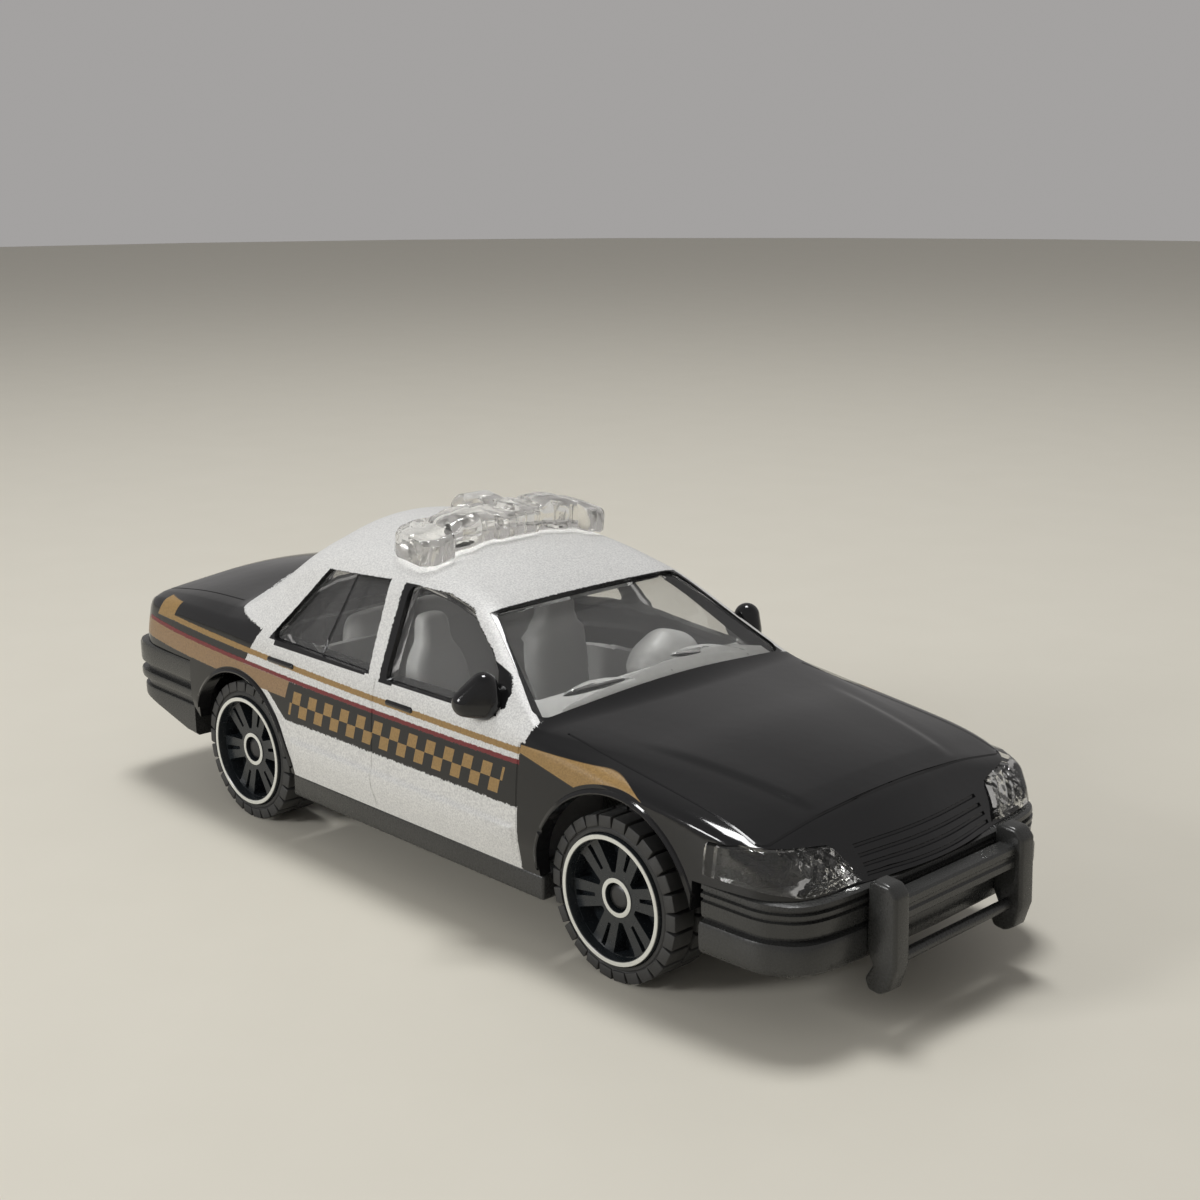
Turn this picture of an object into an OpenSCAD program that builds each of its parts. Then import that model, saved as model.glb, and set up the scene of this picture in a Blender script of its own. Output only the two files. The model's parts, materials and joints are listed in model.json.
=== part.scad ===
// Toy police car: a die-cast saloon body on a moulded base, with free-rolling wheels.
// Millimetres. X points to the front, Y to the car's left, Z up. The origin is on the
// ground, midway between the axles. The feature lines below run from nose to tail.

/* [Body] */
// Distance between the two axles
wheelbase = 42.2; // [40:0.1:46]
// Width of the casting over the door ridges
body_w = 28.8; // [28:0.1:32]
// Front axle to the nose of the casting
nose_len = 15.9; // [15.5:0.1:17]
// Rear axle to the tail of the casting
tail_len = 16.8; // [16.4:0.1:18]
// Height that the roof's crown is drawn from
roof_h = 24.5; // [24:0.1:26]
// Height of the line under the side windows
belt_h = 15.4; // [15.2:0.1:16]
// Height of the bonnet where it meets the windscreen
cowl_h = 15.85; // [15.6:0.05:16.2]
// Height of the bonnet's front edge
hood_edge_h = 13.3; // [13:0.1:13.8]
// Height of the boot lid
deck_h = 17.8; // [17.4:0.1:18.4]
// Height of the casting's lower edge at the doors
skirt_h = 5.5; // [5.2:0.1:6]
// Wall of the casting
wall = 1.1; // [0.9:0.05:1.3]

/* [Windows] */
// Thickness of the clear moulding
glass_t = 0.8; // [0.6:0.05:1]

/* [Light bar] */
// Length of the bar across the roof
bar_len = 18.4; // [17.4:0.1:19]
// Depth of the bar along the car
bar_depth = 5.2; // [4.6:0.1:5.6]
// Height of the bar
bar_h = 1.9; // [1.6:0.05:2.3]
// Diameter of the two pegs that hold the bar
peg_d = 1.8; // [1.4:0.1:2.2]

/* [Wheels] */
// Diameter over the tread
tyre_d = 11.4; // [11:0.1:11.8]
// Width of the tyre
tyre_w = 4.2; // [3.8:0.1:4.4]
// Diameter of the rim's seat in the tyre
rim_d = 9; // [8.6:0.1:9.4]
// Tread blocks round each shoulder
tread_blocks = 26; // [20:1:32]
// Depth of the tread
tread_depth = 0.5; // [0.3:0.05:0.7]
// Double spokes in the rim
spokes = 6; // [5:1:8]
// Diameter of the steel axles
axle_d = 1.1; // [1:0.05:1.3]
// Diameter of the axle heads
head_d = 1.8; // [1.7:0.05:2]

/* [Base] */
// Ground clearance under the floor
floor_h = 3.6; // [3.2:0.1:4]
// Thickness of the floor
floor_t = 1.4; // [1.2:0.1:1.6]
// Top of the front bumper
front_bumper_h = 9.5; // [9.2:0.1:9.8]
// Top of the rear bumper
rear_bumper_h = 11.9; // [11.5:0.1:12.2]
// Front of the push bar, ahead of the nose
push_len = 2.4; // [2.2:0.1:3]
// Top of the push bar
push_h = 10.2; // [9.8:0.1:10.8]
// Diameter of the two rivet posts
post_d = 3; // [2.6:0.1:3.4]

/* [Fits] */
// Gap round a piece that is fixed in its seat
seat_gap = 0.05; // [0.03:0.01:0.1]
// Gap between the casting and the clear moulding
glass_gap = 0.18; // [0.16:0.01:0.25]
// Radial play of the axles in the base and of the rims on the axles
axle_play = 0.05; // [0.03:0.01:0.09]
// Room round the wheels
wheel_room = 0.45; // [0.35:0.05:0.7]

/* [Hidden] */
$fn = 64;

fa = wheelbase / 2;
ra = -wheelbase / 2;
hw = body_w / 2;
nose_x = fa + nose_len;
tail_x = ra - tail_len;
tyre_r = tyre_d / 2;
rim_r = rim_d / 2;
axle_r = axle_d / 2;
head_r = head_d / 2;
floor_top = floor_h + floor_t;
// The nose, from the bumper up to the bonnet's front edge, and the bonnet's climb from there
nose_h = hood_edge_h - front_bumper_h;
hood_climb = cowl_h - hood_edge_h;

// Windscreen, roof and rear window along the car
cowl_x = 14.4;
header_x = 4.5;
header_h = roof_h - 2.75;
roof_back_x = -16.8;
deck_x = -24.2;

// Feature lines, nose to tail. Each has one point for each station, and y is the half width.
sill_line = [
    [nose_x - 0.8, hw - 5.5, skirt_h + 0.5], [nose_x - 1.6, hw - 2.8, skirt_h + 0.4],
    [nose_x - 3.5, hw - 1.2, skirt_h + 0.3], [nose_x - 7.6, hw - 0.5, skirt_h + 0.2],
    [fa + 2.9, hw - 0.5, skirt_h + 0.1], [cowl_x - 1.4, hw - 0.5, skirt_h],
    [header_x + 0.5, hw - 0.5, skirt_h], [-1, hw - 0.5, skirt_h], [-8, hw - 0.5, skirt_h],
    [roof_back_x + 2.3, hw - 0.5, skirt_h], [deck_x + 2, hw - 0.5, skirt_h + 0.3],
    [tail_x + 7.9, hw - 0.7, skirt_h + 2.1], [tail_x + 2.5, hw - 1.2, skirt_h + 3.1],
    [tail_x + 0.8, hw - 1.8, skirt_h + 3.3], [tail_x, hw - 2.8, skirt_h + 3.5]
];
ridge_line = [
    [nose_x - 0.6, hw - 5.2, skirt_h + 1.7], [nose_x - 1.3, hw - 2.4, skirt_h + 2.1],
    [nose_x - 3.2, hw - 0.8, skirt_h + 2.5], [nose_x - 7.4, hw - 0.2, skirt_h + 2.6],
    [fa + 2.9, hw - 0.05, skirt_h + 2.6], [cowl_x - 1.4, hw, skirt_h + 2.6],
    [header_x + 0.5, hw, skirt_h + 2.6], [-1, hw, skirt_h + 2.6], [-8, hw, skirt_h + 2.6],
    [roof_back_x + 2.3, hw, skirt_h + 2.6], [deck_x + 2, hw - 0.1, skirt_h + 2.7],
    [tail_x + 7.9, hw - 0.3, skirt_h + 3.5], [tail_x + 2.5, hw - 0.8, skirt_h + 4.5],
    [tail_x + 0.8, hw - 1.5, skirt_h + 4.7], [tail_x, hw - 2.6, skirt_h + 4.9]
];
waist_line = [
    [nose_x - 0.6, hw - 5.4, front_bumper_h - 0.7], [nose_x - 1.3, hw - 2.5, front_bumper_h - 0.1],
    [nose_x - 3.1, hw - 1, front_bumper_h + nose_h * 9 / 38],
    [nose_x - 7.2, hw - 0.3, front_bumper_h + nose_h * 18 / 38],
    [fa + 2.9, hw - 0.15, belt_h - 3.6], [cowl_x - 1.4, hw - 0.1, belt_h - 3.4],
    [header_x + 0.5, hw - 0.1, belt_h - 3.4], [-1, hw - 0.1, belt_h - 3.4], [-8, hw - 0.1, belt_h - 3.4],
    [roof_back_x + 2.3, hw - 0.1, belt_h - 3.4], [deck_x + 2, hw - 0.15, belt_h - 3.2],
    [tail_x + 7.9, hw - 0.3, belt_h - 3], [tail_x + 2.5, hw - 0.8, belt_h - 3],
    [tail_x + 0.8, hw - 1.5, belt_h - 3], [tail_x, hw - 2.6, belt_h - 3.2]
];
shoulder_line = [
    [nose_x - 0.7, hw - 5.6, front_bumper_h - 0.1],
    [nose_x - 1.4, hw - 3, front_bumper_h + nose_h * 11 / 38],
    [nose_x - 3, hw - 1.5, front_bumper_h + nose_h * 25 / 38], [nose_x - 7, hw - 0.65, hood_edge_h - 0.1],
    [fa + 2.9, hw - 0.45, belt_h - 1.5], [cowl_x - 1.4, hw - 0.5, belt_h - 0.5],
    [header_x + 0.3, hw - 0.5, belt_h - 0.1], [-1, hw - 0.5, belt_h], [-8, hw - 0.5, belt_h + 0.1],
    [roof_back_x + 2.3, hw - 0.55, belt_h + 0.3], [deck_x + 2, hw - 0.65, deck_h - 1.7],
    [tail_x + 7.9, hw - 0.9, deck_h - 1.5], [tail_x + 2.5, hw - 1.4, deck_h - 1.6],
    [tail_x + 0.8, hw - 2, deck_h - 1.9], [tail_x, hw - 3, deck_h - 2.6]
];
rail_line = [
    [nose_x - 0.6, hw - 7.4, front_bumper_h], [nose_x - 1.5, hw - 6.9, front_bumper_h + nose_h * 15 / 38],
    [nose_x - 3.8, hw - 6.8, hood_edge_h - 0.15], [nose_x - 7.2, hw - 6.1, hood_edge_h + 0.7],
    [fa + 2.9, hw - 4.8, hood_edge_h + hood_climb * 10 / 17], [cowl_x - 1, hw - 1.5, cowl_h - 0.25],
    [header_x + 0.5, hw - 4.3, header_h - 0.35], [-1, hw - 4.5, roof_h - 1.7], [-9, hw - 4.5, roof_h - 1.1],
    [roof_back_x + 0.6, hw - 4.7, roof_h - 2], [deck_x + 1.4, hw - 2.8, deck_h - 0.6],
    [tail_x + 7.9, hw - 2.7, deck_h - 0.6], [tail_x + 2.1, hw - 3.1, deck_h - 0.9],
    [tail_x + 0.6, hw - 3.5, deck_h - 1.3], [tail_x, hw - 4, deck_h - 2]
];
middle_line = [
    [nose_x, 0, front_bumper_h + 0.1], [nose_x - 1.3, 0, front_bumper_h + nose_h * 17 / 38],
    [nose_x - 3.7, 0, hood_edge_h], [nose_x - 7.2, 0, hood_edge_h + 0.9],
    [fa + 2.9, 0, hood_edge_h + hood_climb * 12 / 17], [cowl_x, 0, cowl_h],
    [header_x, 0, header_h], [-1, 0, roof_h - 1], [-9, 0, roof_h],
    [roof_back_x, 0, roof_h - 0.7], [deck_x, 0, deck_h - 0.1],
    [tail_x + 7.9, 0, deck_h], [tail_x + 1.9, 0, deck_h - 0.3],
    [tail_x + 0.5, 0, deck_h - 0.8], [tail_x, 0, deck_h - 1.7]
];
// How far each station's corner is rounded, from 0 (sharp) to 1
along_soft = [0, 0.8, 0.5, 0.9, 0.9, 0.2, 0.5, 0.9, 0.95, 0.6, 0.5, 0.9, 0.8, 0.8, 0];
// The way in from the skin at each station, along the car, for an inner skin
along_in = [-1, -1, -0.6, 0, 0, -0.45, -0.45, 0, 0, 0.5, 0.5, 0, 0.6, 1, 1];
cab_first = 5;
cab_last = 10;
lamp_last = 4;

function mix(a, b, t) = a + (b - a) * t;

// A line through points whose corners are rounded by soft, with steps points at each corner
function soft_line(p, soft, steps) = concat(
    [p[0]],
    [for (i = [1 : len(p) - 2], k = [0 : steps])
        let (t = k / steps, a = mix(p[i], p[i - 1], soft[i] / 2), b = mix(p[i], p[i + 1], soft[i] / 2))
        a * (1 - t) * (1 - t) + p[i] * 2 * t * (1 - t) + b * t * t],
    [p[len(p) - 1]]
);

function part_of(list, first, last) = [for (i = [first : last]) list[i]];

// A feature line moved in by depth, along the car, across it and down
function moved_in(line, across, down, depth) = [
    for (i = [0 : len(line) - 1]) line[i] + depth * [along_in[i], -across, -down]
];

function skin_lines(depth) = [
    moved_in(sill_line, 1, 1, depth), moved_in(ridge_line, 1, 0, depth), moved_in(waist_line, 1, 0, depth),
    moved_in(shoulder_line, 1, 0.4, depth), moved_in(rail_line, 0.8, 0.8, depth),
    moved_in(middle_line, 0, 1, depth)
];

// The crown's control point, as far above the middle line as that is above the rail
function crown(rail, middle) = [2 * middle.x - rail.x, 0, 2 * middle.z - rail.z];

function mirrored(p) = [p.x, -p.y, p.z];

// Cross-sections of the skin between two stations, closed across the underside
function sections(depth, first, last, lowest, across_soft, steps_along, steps_across) =
    let (
        lines = [for (line = skin_lines(depth)) soft_line(
            part_of(line, first, last), part_of(along_soft, first, last), steps_along)],
        n = len(lines) - 1
    )
    [for (j = [0 : len(lines[0]) - 1])
        let (
            half = [for (i = [lowest : n - 1]) lines[i][j]],
            top = crown(lines[n - 1][j], lines[n][j]),
            ring = concat(half, [top], [for (i = [len(half) - 1 : -1 : 0]) mirrored(half[i])]),
            soft = concat(part_of(across_soft, lowest, n), [for (i = [n - 1 : -1 : lowest]) across_soft[i]])
        )
        soft_line(ring, soft, steps_across)];

across_soft = [0, 0.5, 0.9, 0.6, 0.5, 0.96];

function total(list, i = 0) = i == len(list) - 1 ? list[i] : list[i] + total(list, i + 1);
function mean(list) = total(list) / len(list);

// A solid skinned over closed sections
module skinned(rings) {
    n = len(rings[0]);
    m = len(rings);
    points = concat([for (ring = rings) each ring], [mean(rings[0]), mean(rings[m - 1])]);
    sides = [for (j = [0 : m - 2], i = [0 : n - 1])
        let (a = j * n + i, b = j * n + (i + 1) % n)
        each [[a, b, b + n], [a, b + n, a + n]]];
    ends = [for (i = [0 : n - 1])
        let (a = (m - 1) * n + i, b = (m - 1) * n + (i + 1) % n)
        each [[(i + 1) % n, i, m * n], [a, b, m * n + 1]]];
    polyhedron(points, concat(sides, ends));
}

module whole_body(depth, steps_along, steps_across) {
    skinned(sections(depth, 0, len(middle_line) - 1, 0, across_soft, steps_along, steps_across));
}

module both_sides() {
    children();
    mirror([0, 1, 0]) children();
}

// A rounded outline in the side view, cut through the right wall
module side_cut(corners, r) {
    translate([0, -hw - 1, 0]) rotate([90, 0, 0]) mirror([0, 0, 1])
        linear_extrude(hw - 4) hull() for (c = corners) translate(c) circle(r, $fn = 24);
}

// A rounded window across the car between a lower and an upper edge [x, half width, z]
module cross_window(low, high, r) {
    slope = atan2(high.z - low.z, high.x - low.x);
    length = norm([high.x - low.x, high.z - low.z]);
    translate([low.x, 0, low.z]) rotate([0, -slope, 0]) translate([0, 0, -2.5])
        linear_extrude(5) hull() both_ways(length, low.y, high.y, r);
}

module both_ways(length, low_y, high_y, r) {
    for (s = [-1, 1]) {
        translate([r, s * (low_y - r)]) circle(r, $fn = 24);
        translate([length - r, s * (high_y - r)]) circle(r, $fn = 24);
    }
}

// Side windows, as outline corners in the side view, before rounding by window_r
window_r = 0.5;
window_low = belt_h + 0.75;
window_high = roof_h - 2.75;
rear_window = [
    [-16.2, window_low + 0.3], [-4.9, window_low + 0.1], [-5.9, window_high - 0.2], [-12.8, window_high - 0.6]
];
front_window = [
    [-1.8, window_low], [8.9, window_low], [7.9, window_high - 3.9], [6.6, window_high - 2.9],
    [3.2, window_high - 0.9], [0.6, window_high - 0.3], [-2.6, window_high - 0.2]
];
screen_low = [cowl_x - 1.1, hw - 2.1, cowl_h + 0.2];
screen_high = [header_x + 0.55, hw - 5.1, header_h - 0.15];
back_low = [deck_x + 1.7, hw - 3.7, deck_h + 0.9];
back_high = [roof_back_x - 0.6, hw - 5.8, roof_h - 1.3];

// Wheel arches
front_arch_r = tyre_r + 1.5;
rear_arch_r = tyre_r + 1;
wheel_face = hw - 0.6;
tyre_out = wheel_face - 0.3;
tyre_in = tyre_out - tyre_w;
well_y = tyre_in - 0.9;

module arch_cuts() {
    for (s = [-1, 1]) {
        translate([fa + 0.7, s * hw, tyre_r + 0.2]) rotate([90, 0, 0])
            cylinder(r = front_arch_r, h = 2 * (hw - well_y), center = true, $fn = 72);
        translate([ra - 0.1, s * hw, tyre_r - 0.1]) rotate([90, 0, 0])
            cylinder(r = rear_arch_r, h = 2 * (hw - well_y), center = true, $fn = 72);
    }
}

// Door mirror on the right: an egg-shaped shell on a short arm
mirror_at = [8.6, hw + 0.5, belt_h + 2];
module door_mirror() {
    hull() {
        translate([mirror_at.x - 0.6, -mirror_at.y - 0.2, mirror_at.z - 0.2]) sphere(1.15, $fn = 20);
        translate([mirror_at.x + 0.6, -mirror_at.y + 0.4, mirror_at.z]) sphere(1.4, $fn = 20);
    }
    hull() {
        translate([mirror_at.x + 0.8, -mirror_at.y + 0.5, mirror_at.z]) sphere(1, $fn = 16);
        translate([mirror_at.x + 2, -mirror_at.y + 2, mirror_at.z - 1.2]) sphere(1, $fn = 16);
    }
}

// Rivet posts, cast in under the bonnet and the boot, and peened under the base
post_r = post_d / 2;
front_post_x = nose_x - 6.5;
rear_post_x = tail_x + 7.2;
peen_r = post_r + 0.5;
peen_h = 0.6;
module posts() {
    for (p = [[front_post_x, hood_edge_h - 0.6], [rear_post_x, deck_h - 1]]) {
        translate([p.x, 0, floor_h]) cylinder(r = post_r, h = p.y - floor_h, $fn = 32);
        translate([p.x, 0, floor_h]) cylinder(r = peen_r, h = peen_h - seat_gap, $fn = 32);
    }
}

// Front face of the rear bumper, behind the rear wheels
rear_face_x = tail_x + 9.5;

// Headlight opening on the left, in the front view [half width, z]
lamp_back_x = nose_x - 7.2;
lamp_outline = [
    [hw - 7.1, front_bumper_h + 0.35], [hw - 6.1, front_bumper_h + nose_h * 23 / 38],
    [hw - 1.2, front_bumper_h + nose_h * 29 / 38], [hw + 0.5, front_bumper_h + nose_h * 25 / 38],
    [hw + 0.5, front_bumper_h + nose_h * 9 / 38], [hw - 2.5, front_bumper_h + 0.3]
];
module lamp_prism(grow) {
    translate([lamp_back_x - grow, 0, 0]) rotate([90, 0, 90]) linear_extrude(nose_x - lamp_back_x + 2)
        offset(delta = grow) polygon(lamp_outline);
}

peg_y = bar_len / 4;
bar_x = -4.7;
bar_foot = roof_h;
peg_low = roof_h - 2.6;

module body_casting() {
    color("#17181b") {
        difference() {
            union() {
                difference() {
                    whole_body(0, 4, 3);
                    whole_body(wall, 2, 2);
                }
                posts();
            }
            both_sides() side_cut(rear_window, window_r);
            both_sides() side_cut(front_window, window_r);
            cross_window(screen_low, screen_high, 0.9);
            cross_window(back_low, back_high, 0.9);
            arch_cuts();
            both_sides() lamp_prism(seat_gap);
            for (s = [-1, 1]) translate([bar_x, s * peg_y, roof_h - 4])
                cylinder(r = peg_d / 2 + seat_gap, h = 6, $fn = 24);
            difference() {
                translate([lamp_back_x - 1, -20, 0]) cube([20, 40, front_bumper_h + seat_gap]);
                translate([front_post_x, 0, 0]) cylinder(r = peen_r, h = 20, $fn = 32);
            }
            difference() {
                translate([rear_face_x - 20, -20, 0]) cube([20, 40, rear_bumper_h + seat_gap]);
                translate([rear_post_x, 0, 0]) cylinder(r = peen_r, h = 20, $fn = 32);
            }
        }
        difference() {
            both_sides() door_mirror();
            whole_body(wall / 2, 2, 2);
        }
    }
}

// Clear window moulding, one piece under the roof
glass_in = wall + glass_gap;
glass_low = belt_h - 0.3;
module cab(depth, steps_along, steps_across) {
    skinned(sections(depth, cab_first, cab_last, 2, across_soft, steps_along, steps_across));
}

module window_glazing() {
    color("#c9d2d4", 0.45) difference() {
        intersection() {
            cab(glass_in, 2, 2);
            translate([-50, -20, glass_low]) cube([100, 40, 20]);
        }
        cab(glass_in + glass_t, 2, 2);
        for (s = [-1, 1]) translate([bar_x, s * peg_y, roof_h - 5])
            cylinder(r = peg_d / 2 + seat_gap, h = 6, $fn = 24);
    }
}

// Light bar: a clear moulding bowed and tilted like the roof, with two beacon domes and a pod
bar_bow = 1.15;
bar_tilt = 7;
bar_end = bar_len / 2;
bar_waist = 0.5;
dome_r = bar_depth * 0.4;
dome_rise = 0.45;
pod_r = 1.05;
function bow(y) = -bar_bow * (y / bar_end) * (y / bar_end);
function dome(y) = abs(abs(y) - peg_y) < dome_r
    ? dome_rise * sqrt(1 - pow((abs(y) - peg_y) / dome_r, 2)) : 0;

module bar_front() {
    steps = 40;
    ys = [for (i = [0 : steps]) mix(-bar_end, bar_end, i / steps)];
    polygon(concat(
        [for (y = ys) [y, bow(y)]],
        [for (i = [steps : -1 : 0]) [ys[i], bow(ys[i]) + bar_h + dome(ys[i])]]
    ));
}

// Half of the bar's plan along its length: end pod, waist, middle block
function bar_plan() = let (d = bar_depth / 2, e = bar_end, in = bar_waist) [
    [d - in, 0], [d - in, e * 0.2], [d - 2 * in, e * 0.28], [d - 2 * in, e * 0.72],
    [d, e * 0.8], [d, e * 0.88], [d - 0.5, e - 0.4], [d - 1.4, e]
];

module bar_block() {
    quarter = bar_plan();
    half = concat(quarter, [for (i = [len(quarter) - 1 : -1 : 0]) [-quarter[i].x, quarter[i].y]]);
    intersection() {
        translate([-bar_depth / 2, 0, 0]) rotate([90, 0, 90]) linear_extrude(bar_depth) bar_front();
        translate([0, 0, -bar_bow]) linear_extrude(bar_bow + bar_h + dome_rise)
            for (s = [0, 1]) mirror([0, s]) polygon(half);
    }
}

module bar_pod() {
    hull() {
        for (s = [-1, 1]) translate([-3.5, s * pod_r, bar_h - 0.95]) sphere(pod_r, $fn = 24);
        translate([1.1, 0, bar_h - 0.1]) sphere(pod_r / 2, $fn = 20);
    }
}

module light_bar() {
    color("#dfe3e2", 0.6) {
        translate([bar_x, 0, bar_foot]) rotate([0, bar_tilt, 0]) {
            bar_block();
            bar_pod();
        }
        for (s = [-1, 1]) translate([bar_x, s * peg_y, peg_low])
            cylinder(r = peg_d / 2, h = bar_foot + bow(peg_y) + bar_h / 2 - peg_low);
    }
}

// Headlights: one clear moulding, both lenses joined by a bar behind the grille
lamp_wall = wall + 0.4;
link_x = nose_x - 3.9;
link_z = front_bumper_h + 0.35;
link_t = 0.75;
link_y = hw - 4;
lug_w = 1.8;
lug_reach = 1.9;
module headlight_insert() {
    color("#dfe3e2", 0.6) {
        difference() {
            intersection() {
                skinned(sections(0, 0, lamp_last, 0, across_soft, 3, 3));
                both_sides() lamp_prism(0);
            }
            skinned(sections(lamp_wall, 0, lamp_last, 0, across_soft, 2, 2));
        }
        translate([link_x, -link_y, link_z]) cube([link_t, 2 * link_y, link_t]);
        both_sides() translate([link_x, link_y - lug_w, link_z]) cube([lug_reach, lug_w, link_t]);
    }
}

// Interior: floor, two front seats, a rear bench and a dashboard in one moulding
seat_y = 6;
seat_r = 1.6;
seat_w = 6.2;
seat_top = belt_h + 3.3;
tub_floor_t = 1;
tub_y = hw - wall - 1.4;
bench_y = well_y - 0.4;
module seat(x, y, w, top) {
    low = floor_top + tub_floor_t;
    hull() for (s = [-1, 1]) {
        translate([x, y + s * (w / 2 - seat_r), low]) cylinder(r = seat_r, h = 1);
        translate([x - 1.6, y + s * (w / 2 - seat_r - 0.6), top - seat_r]) sphere(seat_r, $fn = 24);
    }
    hull() for (s = [-1, 1], dx = [0, 6]) translate([x + dx, y + s * (w / 2 - seat_r), low - 0.5])
        cylinder(r = seat_r, h = 3);
}

module dashboard() {
    profile = [
        [cowl_x - 6.6, floor_top], [cowl_x - 2, floor_top], [cowl_x - 2.1, cowl_h - 3],
        [cowl_x - 3.4, cowl_h - 1.6], [cowl_x - 6, cowl_h - 0.9], [cowl_x - 6.8, cowl_h - 1.8]
    ];
    across(tub_y) polygon(profile);
}

module interior_tub() {
    tub_back = ra + rear_arch_r + 0.6;
    color("#8b8d8e") {
        translate([tub_back, -tub_y, floor_top]) cube([cowl_x - 2 - tub_back, 2 * tub_y, tub_floor_t]);
        for (s = [-1, 1]) seat(-4, s * seat_y, seat_w, seat_top);
        seat(tub_back + 0.4, 0, 2 * bench_y, seat_top - 1.6);
        dashboard();
    }
}

// Base: floor, sills, axle bearings, both bumpers and the push bar in one black moulding
boss_y = tyre_in - 0.3;
boss_half = 1.7;
sill_in = wall + 0.6;
floor_y = well_y - 0.4;
step_back = 2.9;
front_outline = [
    [nose_x - 7.7, hw - 0.35], [nose_x - 3.1, hw - 0.5], [nose_x - 0.6, hw - 1.9],
    [nose_x + 0.1, hw - 5], [nose_x + 0.3, 0]
];
rear_outline = [
    [rear_face_x, hw - 0.3], [tail_x + 1.4, hw - 0.6], [tail_x - 1, hw - 1.7],
    [tail_x - 1.5, hw - 4.8], [tail_x - 1.5, 0]
];
bumper_soft = [0, 0.6, 0.9, 0.9, 0];
bumper_wall = 2.4;
function flipped(list) = [for (i = [len(list) - 1 : -1 : 0]) [list[i].x, -list[i].y]];

// A bumper's outline, drawn in by depth, closed straight across the car
function bumper_plan(outline, depth) =
    let (
        way = sign(outline[4].x),
        drawn = [for (i = [0 : 4])
            [outline[i].x - (i > 1 ? way * depth : 0), max(0, outline[i].y - (i < 4 ? depth : 0))]],
        half = soft_line(drawn, bumper_soft, 5)
    )
    concat(half, part_of(flipped(half), 1, len(half) - 1));

module bumper_band(outline, low, high, depth) {
    translate([0, 0, low]) linear_extrude(high - low) difference() {
        polygon(bumper_plan(outline, depth));
        polygon(bumper_plan(outline, bumper_wall));
    }
}

groove = 0.5;
front_low = floor_h + 0.5;
front_split = front_bumper_h - 2.3;
rear_low = floor_top + 0.3;
rear_rise = 2.5;
rear_grooves = [rear_bumper_h - 2.2, rear_bumper_h - 3.6];

module front_bumper() {
    bumper_band(front_outline, front_low, front_split - 0.25, 0);
    bumper_band(front_outline, front_split - 0.25, front_split, groove);
    bumper_band(front_outline, front_split, front_bumper_h, 0.25);
    translate([0, 0, floor_h]) linear_extrude(floor_t) polygon(bumper_plan(front_outline, 1.2));
}

// A side-view outline carried across the car
module across(half) {
    translate([0, half, 0]) rotate([90, 0, 0]) linear_extrude(2 * half) children();
}

module rear_bumper() {
    near = rear_outline[0].x;
    far = rear_outline[4].x;
    low = [[near, rear_low], [far - 1, rear_low + rear_rise]];
    difference() {
        union() {
            bumper_band(rear_outline, rear_low, rear_grooves[1] - 0.35, 0.2);
            bumper_band(rear_outline, rear_grooves[1] - 0.35, rear_grooves[1] + 0.35, groove);
            bumper_band(rear_outline, rear_grooves[1] + 0.35, rear_grooves[0] - 0.35, 0);
            bumper_band(rear_outline, rear_grooves[0] - 0.35, rear_grooves[0] + 0.35, groove);
            bumper_band(rear_outline, rear_grooves[0] + 0.35, rear_bumper_h, 0);
        }
        across(hw + 1) polygon([[near + 1, 0], [near + 1, rear_low - 0.2], low[1], [far - 1, 0]]);
    }
    intersection() {
        translate([0, 0, floor_h]) linear_extrude(rear_bumper_h - floor_h)
            polygon(bumper_plan(rear_outline, 1.2));
        across(hw) polygon([low[0], low[1], low[1] + [0, floor_t], low[0] + [0, floor_t]]);
    }
}

// Push bar: two hooked uprights joined by two cross bars
push_x = nose_x + push_len;
push_y = 6.7;
push_t = 1.5;
push_low = floor_h - 0.8;
push_depth = 2.3;
module push_bar() {
    upright = [
        [push_x - push_depth, push_h - 0.3], [push_x - push_depth + 0.5, push_h],
        [push_x - 0.7, push_h - 0.1], [push_x - 0.15, push_h - 0.7],
        [push_x, floor_h + 1.3], [push_x - 0.5, push_low + 0.5],
        [push_x - 1.2, push_low], [push_x - 2.1, push_low + 0.1], [push_x - 2.4, push_low + 0.8],
        [push_x - 1.8, floor_h + 1], [push_x - push_depth, floor_h + 2]
    ];
    for (s = [-1, 1]) translate([0, s * push_y, 0]) across(push_t / 2) polygon(upright);
    translate([push_x - 1.8, -push_y, push_h - 2.8]) cube([1.2, 2 * push_y, 1.6]);
    translate([push_x - 1.1, push_y, floor_h + 1.2]) rotate([90, 0, 0]) cylinder(r = 0.4, h = 2 * push_y);
}

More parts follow.
